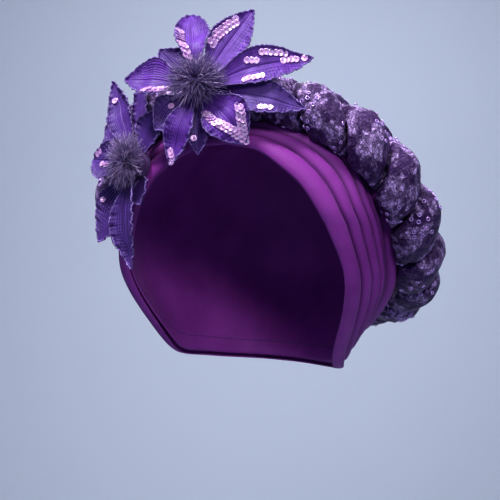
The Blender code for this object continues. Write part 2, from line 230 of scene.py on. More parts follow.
SIDE_PETALS = (
    Petal(-60, 20, 5, 0.32, 0.72, 0.12, BACK, Tint.SHADED),
    Petal(100, 5, 5, 0.82, 0.55, 0.12, BACK, Tint.SHADED),
    Petal(146, 15, 5, 0.56, 0.95, 0.12, BACK, Tint.SHADED),
    Petal(-119, 0, 5, 0.74, 1.35, 0.12, BACK, Tint.SHADED, (Run(0.44, -0.82, 0.52, -0.80, 1),)),
    Petal(68, 8, -15, 0.45, 0.85, 0.12, FRONT, Tint.SHADED),
    Petal(119, 12, 10, 0.80, 0.75, 0.14, FRONT, Tint.SHADED, (Run(0.78, 0.40, 0.75, 0.40, 1),)),
    Petal(177, 12, 10, 0.50, 0.95, 0.14, FRONT, Tint.SHADED, OUTER_RUNS),
    Petal(-80, 5, -10, 0.88, 1.10, 0.12, FRONT, Tint.SHADED),
)
FLOWERS = (
    FlowerPlan("flower_front", -34, 56, 10, 20, FRONT_PETALS, 5, 0.02),
    FlowerPlan("flower_side", -41, 21, -32, 8, SIDE_PETALS, 6, 0.12),
)


def unit(vectors: Array) -> Array:
    """The vectors at length one."""
    return vectors / np.maximum(np.linalg.norm(vectors, axis=-1, keepdims=True), 1e-12)


def full_turn(count: int) -> Array:
    """Even angles round a full turn."""
    return 2 * np.pi * np.arange(count) / count


def ring_slope(points: Array) -> Array:
    """The way from the point before to the point after, round a closed ring."""
    return np.roll(points, -1, axis=0) - np.roll(points, 1, axis=0)


def travelled(grid: Array, axis: int = 0) -> Array:
    """How far each point of a path lies along it, or each row or column of a grid on average.

    Args:
        grid: points of a path or a grid.
        axis: the grid's axis to go along.

    Returns:
        The lengths from the start, which is 0.
    """
    steps = np.linalg.norm(np.diff(grid, axis=axis), axis=-1)
    return np.concatenate([[0], np.cumsum(steps if steps.ndim == 1 else steps.mean(axis=1 - axis))])


def carried(points: Array, place: Matrix) -> Array:
    """Points of a flower's own frame, carried to its place."""
    return points @ np.array(place.to_3x3()).T + np.array(place.translation)


def smooth_rows(rows: tuple | Array, shares: Array) -> Array:
    """Reads a table along a smooth curve through its rows.

    Args:
        rows: the table.
        shares: where to read it, as shares of the curve's length.

    Returns:
        A row of values for each share.
    """
    table = np.array(rows, float)
    length = travelled(table)
    length /= length[-1]
    slopes = np.gradient(table, length, axis=0)
    index = np.clip(np.searchsorted(length, shares, side="right") - 1, 0, len(length) - 2)
    span = (length[index + 1] - length[index])[:, None]
    t = (shares - length[index])[:, None] / span
    start, end = table[index], table[index + 1]
    from_start = start * (1 + 2 * t) * (1 - t) ** 2 + slopes[index] * span * t * (1 - t) ** 2
    to_end = end * t * t * (3 - 2 * t) + slopes[index + 1] * span * t * t * (t - 1)
    return from_start + to_end


def both_sides(rows: tuple | list) -> Array:
    """The rows from the nape round the wearer's right, over the front and round the left to the nape.

    Args:
        rows: rows of the wearer's left, from the front to the nape, with the angle round the head first.

    Returns:
        The rows of both sides.
    """
    left = np.array(rows, float)
    right = left[:0:-1].copy()
    right[:, 0] *= -1
    return np.vstack([right, left])


def step_up(values: Array, low: float, high: float) -> Array:
    """A smooth rise from 0 at low to 1 at high."""
    t = np.clip((values - low) / (high - low), 0, 1)
    return t * t * (3 - 2 * t)


def finer(grid: Array, times: int, closed: bool = False) -> Array:
    """Cuts the first axis of a grid into finer steps along a smooth curve.

    Args:
        grid: values whose first axis is cut.
        times: how many new steps each step becomes.
        closed: whether the axis closes on itself.

    Returns:
        The finer grid.
    """
    count = len(grid)
    if closed:
        share = np.arange(times * count) / times
        index = share.astype(int)
        before, here, after, beyond = (np.roll(grid, shift, axis=0)[index] for shift in (1, 0, -1, -2))
    else:
        share = np.arange(times * (count - 1) + 1) / times
        index = np.minimum(share.astype(int), count - 2)
        wide = np.concatenate([2 * grid[:1] - grid[1:2], grid, 2 * grid[-1:] - grid[-2:-1]])
        before, here, after, beyond = (wide[index + shift] for shift in range(4))
    t = (share - index).reshape((-1,) + (1,) * (grid.ndim - 1))
    slope, next_slope = (after - before) / 2, (beyond - here) / 2
    from_here = here * (1 + 2 * t) * (1 - t) ** 2 + slope * t * (1 - t) ** 2
    return from_here + after * t * t * (3 - 2 * t) + next_slope * t * t * (t - 1)


def finer_grid(grid: Array, rows: int, columns: int, closed: bool = False) -> Array:
    """The grid with each row step cut into so many rows, and each column step into so many columns."""
    return finer(finer(grid, rows, closed).swapaxes(0, 1), columns, closed).swapaxes(0, 1)


def grid_normals(grid: Array, wrap_rows: bool = False, wrap_columns: bool = False) -> Array:
    """The directions square to a grid of points, across its columns and then along its rows.

    Args:
        grid: points by row and column.
        wrap_rows: whether the last row meets the first.
        wrap_columns: whether the last column meets the first.

    Returns:
        A unit vector at each point.
    """
    slopes = []
    for axis, wrap in ((0, wrap_rows), (1, wrap_columns)):
        if wrap:
            slopes.append(np.roll(grid, -1, axis) - np.roll(grid, 1, axis))
        else:
            slopes.append(np.gradient(grid, axis=axis))
    return unit(np.cross(slopes[1], slopes[0]))


def noise_at(points: Array, scale: float, seed: float = 0.0) -> Array:
    """Smooth noise at points.

    Args:
        points: where to read it.
        scale: how many waves a metre.
        seed: moves the noise, so that two reads differ.

    Returns:
        Values about from -1 to 1, in the shape of the points.
    """
    shift = Vector((seed, 1.7 * seed, 0.6 * seed))
    flat = points.reshape(-1, 3) * scale
    values = [noise.noise(Vector(point) + shift) for point in flat]
    return np.array(values).reshape(points.shape[:-1])


class Shader:
    """A material's node tree, with short ways to add and join nodes."""

    def __init__(self, name: str) -> None:
        """Starts a material with its plain shader.

        Args:
            name: the material's name.
        """
        self.material = bpy.data.materials.new(name)
        self.material.use_nodes = True
        self.nodes = self.material.node_tree.nodes
        self.links = self.material.node_tree.links
        self.surface = self.nodes["Principled BSDF"]

    def put(self, socket: Socket, value: Value) -> None:
        """Joins a socket to another, or sets its value.

        Args:
            socket: the socket that takes it.
            value: a socket or a value.
        """
        if isinstance(value, Socket):
            self.links.new(value, socket)
        else:
            socket.default_value = value

    def set(self, **values: Socket | float | Colour) -> None:
        """Sets the shader's own sockets, named with _ for a space.

        Args:
            values: a socket, a number or a colour for each.
        """
        for name, value in values.items():
            socket = self.surface.inputs[name.replace("_", " ").title().replace("Ior", "IOR")]
            self.put(socket, (*value, 1) if isinstance(value, tuple) else value)

    def node(self, kind: str, inputs: dict[str | int, Value], **settings: str) -> bpy.types.Node:
        """Adds a node.

        Args:
            kind: the node's type, without its prefix.
            inputs: values or sockets for its inputs.
            settings: its own settings.

        Returns:
            The node.
        """
        node = self.nodes.new(f"ShaderNode{kind}")
        for name, value in settings.items():
            setattr(node, name, value)
        for name, value in inputs.items():
            self.put(node.inputs[name], value)
        return node

    def place(self) -> Socket:
        """The object's own coordinates."""
        return self.node("TexCoord", {}).outputs["Object"]

    def map(self, name: str) -> Socket:
        """The places of a named map."""
        return self.node("UVMap", {}, uv_map=name).outputs["UV"]

    def tone(self) -> Socket:
        """The tone that the points carry."""
        return self.node("Attribute", {}, attribute_name="tone").outputs["Fac"]

    def parts(self, vector: Socket) -> tuple[Socket, Socket]:
        """The first two parts of a vector."""
        node = self.node("SeparateXYZ", {0: vector})
        return node.outputs[0], node.outputs[1]

    def cells(self, vector: Socket, pitch: float, randomness: float, feature: str = "F1") -> bpy.types.Node:
        """A flat pattern of cells, and each place's distance in it."""
        inputs = {"Vector": vector, "Scale": 1 / pitch, "Randomness": randomness}
        return self.node("TexVoronoi", inputs, voronoi_dimensions="2D", feature=feature)

    def math(self, operation: str, *values: Socket | float) -> Socket:
        """The outcome of a sum on one, two or three values."""
        return self.node("Math", dict(enumerate(values)), operation=operation).outputs[0]

    def ramp(self, value: Socket, low: float, high: float, start: float = 0.0, end: float = 1.0) -> Socket:
        """The value taken smoothly from low..high to start..end."""
        inputs = {"Value": value, "From Min": low, "From Max": high, "To Min": start, "To Max": end}
        return self.node("MapRange", inputs, interpolation_type="SMOOTHSTEP").outputs[0]

    def mix(self, share: Socket | float, first: Socket | Colour, second: Socket | Colour) -> Socket:
        """A colour between two, by a share."""
        ends = [value if isinstance(value, Socket) else (*value, 1) for value in (first, second)]
        return self.node("Mix", {0: share, 6: ends[0], 7: ends[1]}, data_type="RGBA").outputs[2]

    def noise(self, vector: Socket, scale: float, detail: float = 2.0) -> Socket:
        """Smooth noise by a vector."""
        return self.node("TexNoise", {"Vector": vector, "Scale": scale, "Detail": detail}).outputs["Fac"]

    def bump(self, height: Socket, distance: float, strength: float = 1.0) -> None:
        """Lets a height show as relief."""
        node = self.node("Bump", {"Height": height, "Distance": distance, "Strength": strength})
        self.links.new(node.outputs["Normal"], self.surface.inputs["Normal"])


@dataclass(frozen=True)
class Jersey:
    """Smooth knitted jersey."""

    colour: Colour = (0.250, 0.034, 0.320)
    shade: Colour = (0.195, 0.022, 0.250)
    # fold: painted shade, the dark colour that the pleats' valleys take
    fold: Colour = (0.036, 0.002, 0.062)
    tint: Colour = (0.95, 0.62, 1.0)
    rough: float = 0.58
    sheen: float = 0.04
    ribs: float = 2400.0
    cloud_scale: float = 34.0
    slack_scale: float = 900.0
    relief: float = 0.00012

    def material(self) -> Finish:
        """The jersey's material, whose colour goes towards the fold colour by the tone that the points carry:
        painted shade in the pleats' valleys.

        Returns:
            The material.
        """
        shader = Shader(Slot.JERSEY.value)
        clouds = shader.noise(shader.place(), self.cloud_scale, 3)
        cloth = shader.mix(shader.ramp(clouds, 0.30, 0.72), self.shade, self.colour)
        # painted shade: where the tone is high, in the pleats' valleys, the colour goes towards fold
        shader.set(base_color=shader.mix(shader.tone(), cloth, self.fold))
        shader.set(roughness=shader.ramp(clouds, 0.2, 0.8, self.rough + 0.06, self.rough - 0.05))
        shader.set(sheen_weight=self.sheen, sheen_roughness=0.4, sheen_tint=self.tint, specular_ior_level=0.2)
        across, along = shader.parts(shader.map("cut"))
        rib = shader.math("SINE", shader.math("MULTIPLY", across, self.ribs * 2))
        purl = shader.math("SINE", shader.math("MULTIPLY", along, self.ribs))
        knit = shader.math("MULTIPLY", rib, purl)
        slack = shader.noise(shader.place(), self.slack_scale, 2)
        shader.bump(shader.math("ADD", knit, slack), self.relief, 0.5)
        return shader.material


@dataclass(frozen=True)
class SequinLace:
    """Corded lace over a satin lining: corded motifs on a net, with patches of satin that show, and scattered
    bright flecks painted in as glints.
    """

    lining: Colour = (0.038, 0.012, 0.084)
    thread: Colour = (0.010, 0.004, 0.024)
    satin: Colour = (0.610, 0.400, 0.880)
    gloss: Colour = (0.75, 0.50, 1.0)
    sheen: Colour = (0.60, 0.38, 1.0)
    motif_pitch: float = 0.0066
    net_pitch: float = 0.0016
    drift_scale: float = 260.0
    drift: float = 0.0030
    patch_scale: float = 92.0
    fleck_scale: float = 330.0
    relief: float = 0.0006

    def drifted(self, shader: Shader, cut: Socket) -> Socket:
        """The cut's places, each moved a little, so that the pattern isn't stiff.

        Args:
            shader: the lace's shader.
            cut: the cut's places.

        Returns:
            The moved places.
        """
        inputs = {"Vector": cut, "Scale": self.drift_scale, "Detail": 1.0}
        moved = shader.node("TexNoise", inputs).outputs["Color"]
        centred = shader.node("VectorMath", {0: moved, 1: (0.5, 0.5, 0.5)}, operation="SUBTRACT")
        slip = shader.node("VectorMath", {0: centred.outputs[0], 3: self.drift}, operation="SCALE")
        return shader.node("VectorMath", {0: cut, 1: slip.outputs[0]}, operation="ADD").outputs[0]

    def motifs(self, shader: Shader, place: Socket) -> Socket:
        """The corded outlines of the lobed motifs.

        Args:
            shader: the lace's shader.
            place: the moved places.

        Returns:
            1 on a cord, 0 off it.
        """
        cells = shader.cells(place, self.motif_pitch, 0.9).outputs
        local = shader.node("VectorMath", {0: place, 1: cells["Position"]}, operation="SUBTRACT")
        across, along = shader.parts(local.outputs[0])
        angle = shader.math("ARCTAN2", along, across)
        turned = shader.math("MULTIPLY_ADD", angle, 4.0, shader.math("MULTIPLY", cells["Color"], 6.0))
        lobes = shader.math("MULTIPLY_ADD", shader.math("COSINE", turned), 0.15, 0.42)
        gap = shader.math("SUBTRACT", cells["Distance"], lobes)
        return shader.ramp(shader.math("ABSOLUTE", gap), 0.12, 0.04)

    def material(self) -> Finish:
        """The lace's material.

        Returns:
            The material.
        """
        shader = Shader(Slot.LACE.value)
        cut = shader.map("cut")
        place = self.drifted(shader, cut)
        line = self.motifs(shader, place)
        net = shader.cells(place, self.net_pitch, 0.6, "DISTANCE_TO_EDGE").outputs["Distance"]
        threads = shader.ramp(net, 0.17, 0.05)
        patches = shader.ramp(shader.noise(cut, self.patch_scale, 2), 0.47, 0.56)
        flecks = shader.ramp(shader.noise(place, self.fleck_scale, 1), 0.47, 0.56)
        shown = shader.math("MULTIPLY", patches, shader.math("MULTIPLY_ADD", flecks, 0.65, 0.30))
        # satin patches, plus painted glints: faint flecks of the bright satin colour scattered outside the
        # patches
        satin_and_painted_glints = shader.math("MULTIPLY_ADD", flecks, 0.08, shown)
        ground = shader.mix(satin_and_painted_glints, self.lining, self.satin)
        corded, netted = shader.math("MULTIPLY", line, 0.60), shader.math("MULTIPLY", threads, 0.72)
        shader.set(base_color=shader.mix(shader.math("MAXIMUM", corded, netted), ground, self.thread))
        shader.set(roughness=shader.ramp(threads, 0, 1, 0.44, 0.70), specular_ior_level=0.35)
        shader.set(specular_tint=self.gloss, sheen_weight=0.05, sheen_roughness=0.4, sheen_tint=self.sheen)
        relief = shader.math("MULTIPLY_ADD", threads, 0.30, shader.math("MULTIPLY", flecks, 0.35))
        shader.bump(shader.math("MULTIPLY_ADD", line, 0.45, relief), self.relief, 0.8)
        return shader.material


@dataclass(frozen=True)
class Organza:
    """Tucked organza, whose tucks run along the petal."""

    name: str
    # crest is the colour of the tucks' ridges; valley is darker, painted shade in the tucks' valleys, and
    # also the colour of the darker edges, root and mesh
    crest: Colour
    valley: Colour
    sheen: Colour = (0.60, 0.42, 1.0)
    tucks: float = 9.0
    rough: float = 0.52
    cloud_scale: float = 130.0
    mesh_pitch: float = 1 / 520
    relief: float = 0.0003

    def material(self) -> Finish:
        """The organza's material: painted shade in its tucks' valleys, darker at its edges and root, with an
        open mesh on one half.

        Returns:
            The material.
        """
        shader = Shader(self.name)
        cut, share = shader.map("cut"), shader.map("share")
        beside, along = shader.parts(share)
        across = shader.math("MULTIPLY_ADD", shader.noise(share, 2.5, 1), 0.05, beside)
        # painted shade: the colour goes from valley in the tucks' valleys to crest on their ridges
        wave = shader.math("COSINE", shader.math("MULTIPLY", across, 2 * np.pi * self.tucks))
        clouds = shader.noise(cut, self.cloud_scale, 3)
        mottle = shader.ramp(clouds, 0.35, 0.75, -0.30, 0.15)
        shown = shader.math("ADD", shader.ramp(wave, -0.9, 0.4), mottle)
        dots = shader.ramp(shader.cells(cut, self.mesh_pitch, 0.3).outputs["Distance"], 0.42, 0.26)
        mesh = shader.math("MULTIPLY", shader.ramp(beside, -0.1, -0.5), shader.ramp(along, 0.3, 0.6))
        pores = shader.math("MULTIPLY", dots, shader.math("MULTIPLY_ADD", mesh, 0.75, 0.12))
        edges = shader.ramp(shader.math("ABSOLUTE", beside), 0.72, 1.0, 0.0, 0.6)
        roots = shader.ramp(along, 0.34, 0.04, 0.0, 0.75)
        dark = shader.math("MAXIMUM", shader.math("MAXIMUM", edges, roots), pores)
        colour = shader.mix(shown, self.valley, self.crest)
        shader.set(base_color=shader.mix(dark, colour, self.valley), specular_ior_level=0.25)
        shader.set(roughness=shader.ramp(clouds, 0.3, 0.7, self.rough + 0.08, self.rough - 0.06))
        shader.set(sheen_weight=0.04, sheen_roughness=0.35, sheen_tint=self.sheen)
        grain = shader.math("SUBTRACT", shader.math("MULTIPLY", clouds, 0.6), pores)
        shader.bump(grain, self.relief, 0.7)
        return shader.material


@dataclass(frozen=True)
class Foil:
    """Sequin foil under a clear coat, which drifts from pink to a cooler tint from sequin to sequin."""

    name: str
    colour: Colour = (0.88, 0.44, 0.92)
    cool: Colour = (0.66, 0.56, 1.0)
    drift_scale: float = 260.0
    scratch_scale: float = 700.0

    def material(self) -> Finish:
        """The foil's material.

        Returns:
            The material.
        """
        shader = Shader(self.name)
        drift = shader.ramp(shader.noise(shader.place(), self.drift_scale, 1), 0.35, 0.65, 0.0, 0.4)
        scratches = shader.noise(shader.place(), self.scratch_scale, 1)
        shader.set(base_color=shader.mix(drift, self.colour, self.cool))
        shader.set(metallic=0.35, coat_weight=0.7, coat_roughness=0.06)
        shader.set(roughness=shader.ramp(scratches, 0.3, 0.7, 0.16, 0.30))
        return shader.material


@dataclass(frozen=True)
class Thread:
    """Thread whose pieces differ in tone, from dark to pale."""

    name: str
    dark: Colour
    pale: Colour
    sheen: Colour = (0.7, 0.6, 1.0)
    rough: float = 0.6
    grain_scale: float = 1800.0
    relief: float = 0.0001

    def material(self) -> Finish:
        """The thread's material.

        Returns:
            The material.
        """
        shader = Shader(self.name)
        grain = shader.noise(shader.place(), self.grain_scale, 2)
        spread = shader.math("ADD", shader.tone(), shader.ramp(grain, 0.3, 0.7, -0.08, 0.08))
        shader.set(base_color=shader.mix(spread, self.dark, self.pale))
        shader.set(roughness=shader.ramp(grain, 0.3, 0.7, self.rough + 0.08, self.rough - 0.08))
        shader.set(specular_ior_level=0.2, sheen_weight=0.08, sheen_tint=self.sheen)
        shader.bump(grain, self.relief, 0.6)
        return shader.material


@dataclass(frozen=True)
class Felt:
    """Pressed felt."""

    colour: Colour = (0.045, 0.014, 0.085)
    fuzz: Colour = (0.085, 0.035, 0.150)
    fibre_scale: float = 2600.0
    relief: float = 0.0004

    def material(self) -> Finish:
        """The felt's material.

        Returns:
            The material.
        """
        shader = Shader(Slot.FELT.value)
        fibres = shader.noise(shader.place(), self.fibre_scale, 4)
        shader.set(base_color=shader.mix(shader.ramp(fibres, 0.35, 0.7), self.colour, self.fuzz))
        shader.set(roughness=0.95, sheen_weight=0.08, specular_ior_level=0.2)
        shader.bump(fibres, self.relief, 0.8)
        return shader.material


@dataclass(frozen=True)
class Paper:
    """The studio floor's plain paper."""

    colour: Colour = (0.52, 0.57, 0.70)
    darkening: float = 0.97
    mottle_scale: float = 3.0

    def material(self) -> Finish:
        """The paper's material.

        Returns:
            The material.
        """
        shader = Shader("studio_paper")
        mottle = shader.noise(shader.place(), self.mottle_scale, 3)
        darker = tuple(self.darkening * value for value in self.colour)
        shader.set(base_color=shader.mix(mottle, darker, self.colour), roughness=0.95)
        return shader.material


@dataclass(frozen=True)
class Wardrobe:
    """The finishes of every piece, each made once."""

    jersey: Finish
    lace: Finish
    organza: dict[Tint, Finish]
    foil: Finish
    ring_foil: Finish
    fringe: Finish
    cord: Finish
    felt: Finish

    @classmethod
    def open(cls) -> "Wardrobe":
        """Makes the finishes.

        Returns:
            The finishes.
        """
        # Two copies of one organza: the bright one as lit, and a deep one that is darker, painted shade for
        # the back rows and the side flower
        bright = Organza("petal_organza_lit", (0.158, 0.039, 0.425), (0.042, 0.008, 0.145))
        deep = Organza("petal_organza_shaded", (0.100, 0.033, 0.290), (0.026, 0.008, 0.090))
        return cls(
            jersey=Jersey().material(),
            lace=SequinLace().material(),
            organza={Tint.LIT: bright.material(), Tint.SHADED: deep.material()},
            foil=Foil("sequin_foil").material(),
            ring_foil=Foil("ring_foil", (0.66, 0.36, 0.95), (0.42, 0.34, 0.95)).material(),
            fringe=Thread("fringe_thread", (0.028, 0.013, 0.120), (0.520, 0.370, 0.660)).material(),
            cord=Thread("edge_cord", (0.030, 0.010, 0.095), (0.280, 0.170, 0.560)).material(),
            felt=Felt().material(),
        )


@dataclass
class Pile:
    """Points and faces gathered into one mesh."""

    points: list[Array] = field(default_factory=list)
    faces: list[list[int]] = field(default_factory=list)
    maps: dict[str, list[Array]] = field(default_factory=dict)
    tones: list[Array] = field(default_factory=list)
    count: int = 0

    def add(self, points: Array, faces: list[Array], tone: float | Array = 0.0) -> None:
        """Adds points and faces.

        Args:
            points: the points, in any shape that ends in three.
            faces: blocks of faces, each of which has rows of point numbers of one length.
            tone: one value for all the points, or one for each.
        """
        flat = points.reshape(-1, 3)
        for block in faces:
            self.faces += (block + self.count).tolist()
        self.points.append(flat)
        self.tones.append(np.broadcast_to(np.asarray(tone, float), len(flat)))
        self.count += len(flat)

    def map(self, name: str, corners: Array) -> None:
        """Adds the corners' places on a named map, in the order of the faces."""
        self.maps.setdefault(name, []).append(corners.reshape(-1, 2))

    def tree(self) -> BVHTree:
        """The search tree of its faces."""
        return BVHTree.FromPolygons(np.concatenate(self.points).tolist(), self.faces)

    def piece(self, name: str, finish: Finish, slot: Slot, node: str = "") -> Item:
        """Makes the piece.

        Args:
            name: the piece's name.
            finish: its material.
            slot: not used.
            node: the frame's node that it replaces, if any.

        Returns:
            The piece, riding on the body.
        """
        item = self.item(name, finish)
        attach(item, "root")
        if node:
            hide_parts(node)
        LOG.info("%s: %d faces", name, len(self.faces))
        return item

    def item(self, name: str, finish: Finish) -> Item:
        """Makes the mesh's object, in its finish.

        Args:
            name: its name.
            finish: its material.

        Returns:
            The object, in the scene.
        """
        mesh = bpy.data.meshes.new(name)
        mesh.from_pydata(np.concatenate(self.points).tolist(), [], self.faces)
        for key, blocks in self.maps.items():
            mesh.uv_layers.new(name=key).data.foreach_set("uv", np.concatenate(blocks).ravel())
        tone = mesh.attributes.new("tone", "FLOAT", "POINT")
        tone.data.foreach_set("value", np.concatenate(self.tones).astype(np.float32))
        mesh.shade_smooth()
        mesh.materials.append(finish)
        item = bpy.data.objects.new(name, mesh)
        bpy.context.scene.collection.objects.link(item)
        return item


def grid_faces(rows: int, columns: int, wrap_rows: bool = False, wrap_columns: bool = False) -> Array:
    """Quads between the points of a grid.

    Args:
        rows: how many rows of points.
        columns: how many points in a row.
        wrap_rows: whether the last row meets the first.
        wrap_columns: whether the last column meets the first.

    Returns:
        The quads' point numbers.
    """
    row = np.arange(rows if wrap_rows else rows - 1)[:, None]
    column = np.arange(columns if wrap_columns else columns - 1)[None]
    above, beside = (row + 1) % rows, (column + 1) % columns
    row, above = row * columns, above * columns
    corners = [row + column, row + beside, above + beside, above + column]
    return np.stack(np.broadcast_arrays(*corners), -1).reshape(-1, 4)


def grid_corners(across: Array, along: Array) -> Array:
    """The map places of a grid's quad corners, in the order of grid_faces.

    Args:
        across: a value at each place of the grid, with the closing row and column where it closes.
        along: the same, for the map's other way.

    Returns:
        The corners' places.
    """
    places = np.stack([across, along], -1)
    corners = [places[:-1, :-1], places[:-1, 1:], places[1:, 1:], places[1:, :-1]]
    return np.stack(corners, -2).reshape(-1, 2)


def turned(section: list[Spread] | Array, sides: int) -> Array:
    """Rings of points round Z, through a section's points: radius and height.

    Args:
        section: rows of radius and height.
        sides: how many points a ring has.

    Returns:
        Points by ring and side.
    """
    out, up = np.array(section, float).T[..., None]
    angle = full_turn(sides)
    return np.stack([out * np.cos(angle), out * np.sin(angle), up + 0 * angle], -1)


def closed_ends(rings: int, sides: int) -> list[Array]:
    """Faces of stacked rings: the quads between them, and a face for the first and the last ring.

    Args:
        rings: how many rings.
        sides: how many points a ring has.

    Returns:
        The faces in two blocks.
    """
    side = np.arange(sides)
    ends = np.stack([side[::-1], side + sides * (rings - 1)])
    return [grid_faces(rings, sides, wrap_columns=True), ends]


def tubes(paths: Array, radii: Array, sides: int, up: Array) -> tuple[Array, list[Array]]:
    """Round bodies along paths, closed at both ends.

    Args:
        paths: points by path and step.
        radii: a radius at each step, or round each step, in a shape that the paths' points match.
        sides: how many sides.
        up: a direction at each step that the paths don't follow.

    Returns:
        The points, and their faces in blocks.
    """
    count, steps = paths.shape[:2]
    forward = unit(np.gradient(paths, axis=1))
    side = unit(np.cross(forward, up))
    raised = np.cross(side, forward)
    angle = full_turn(sides)
    ring = np.cos(angle)[:, None] * side[:, :, None] + np.sin(angle)[:, None] * raised[:, :, None]
    points = paths[:, :, None] + ring * np.broadcast_to(radii, (count, steps, sides))[..., None]
    body = grid_faces(steps, sides, wrap_columns=True)[:, ::-1]
    offsets = (np.arange(count) * steps * sides)[:, None, None]
    ends = np.stack([np.arange(sides), np.arange(sides)[::-1] + (steps - 1) * sides])
    return points, [(body[None] + offsets).reshape(-1, 4), (ends[None] + offsets).reshape(-1, sides)]


@dataclass(frozen=True)
class HeadForm:
    """The form that the cap fits."""

    half_width: float = 0.083
    front_depth: float = 0.098
    back_depth: float = 0.106
    crown_height: float = 0.071
    nape_depth: float = 0.110
    nape_taper: float = 0.40
    taper_starts: float = 0.23
    taper_ends: float = 0.91

    def surface(self, around: Array, up: Array) -> Array:
        """Points of the form's surface.

        Args:
            around: the angle round the head, from the front to the left.
            up: the angle of height.

        Returns:
            The points.
        """
        turn, rise = np.radians(around), np.radians(up)
        above = rise >= 0
        height = np.where(above, self.crown_height, self.nape_depth) * np.sin(rise)
        share = step_up(-height / self.nape_depth, self.taper_starts, self.taper_ends)
        radius = np.where(above, np.cos(rise), 1 - self.nape_taper * share)
        depth = np.where(np.cos(turn) > 0, self.front_depth, self.back_depth)
        return np.stack(
            [self.half_width * radius * np.sin(turn), -depth * radius * np.cos(turn), height], axis=-1
        )

    def outwards(self, around: Array, up: Array, step: float = 0.3) -> Array:
        """The form's outward direction.

        Args:
            around: the angle round the head.
            up: the angle of height.
            step: how far apart the slope is read, in degrees.

        Returns:
            Unit vectors.
        """
        sideways = self.surface(around + step, up) - self.surface(around - step, up)
        upwards = self.surface(around, up + step) - self.surface(around, up - step)
        return unit(np.cross(sideways, upwards))

    def over(self, around: Array, up: Array, offset: Array | float) -> Array:
        """Points at a distance outside the form's surface."""
        return self.surface(around, up) + self.outwards(around, up) * np.asarray(offset)[..., None]


@dataclass(frozen=True)
class Cloths:
    """The walls of the cap and the panels, and the gaps between neighbours."""

    cap_wall: float = 0.0015
    panel_wall: float = 0.0015
    clearance: float = 0.0003
    facet_allowance: float = 0.0013

    @property
    def panel_seat(self) -> float:
        """How far the panels' inner face lies outside the form."""
        return self.cap_wall + self.clearance + self.facet_allowance

    @property
    def plait_seat(self) -> float:
        """How far the plait's floor lies outside the form."""
        return self.panel_seat + self.panel_wall + 2 * self.clearance + self.facet_allowance


def thicken(item: Item, wall: float, side: float) -> None:
    """Gives a surface its wall: 1 outside it, -1 inside it, 0 half on each side.

    Args:
        item: the surface.
        wall: how thick it gets.
        side: the side that the wall grows to.
    """
    modifier = item.modifiers.new("wall", "SOLIDIFY")
    modifier.thickness = wall
    modifier.offset = side


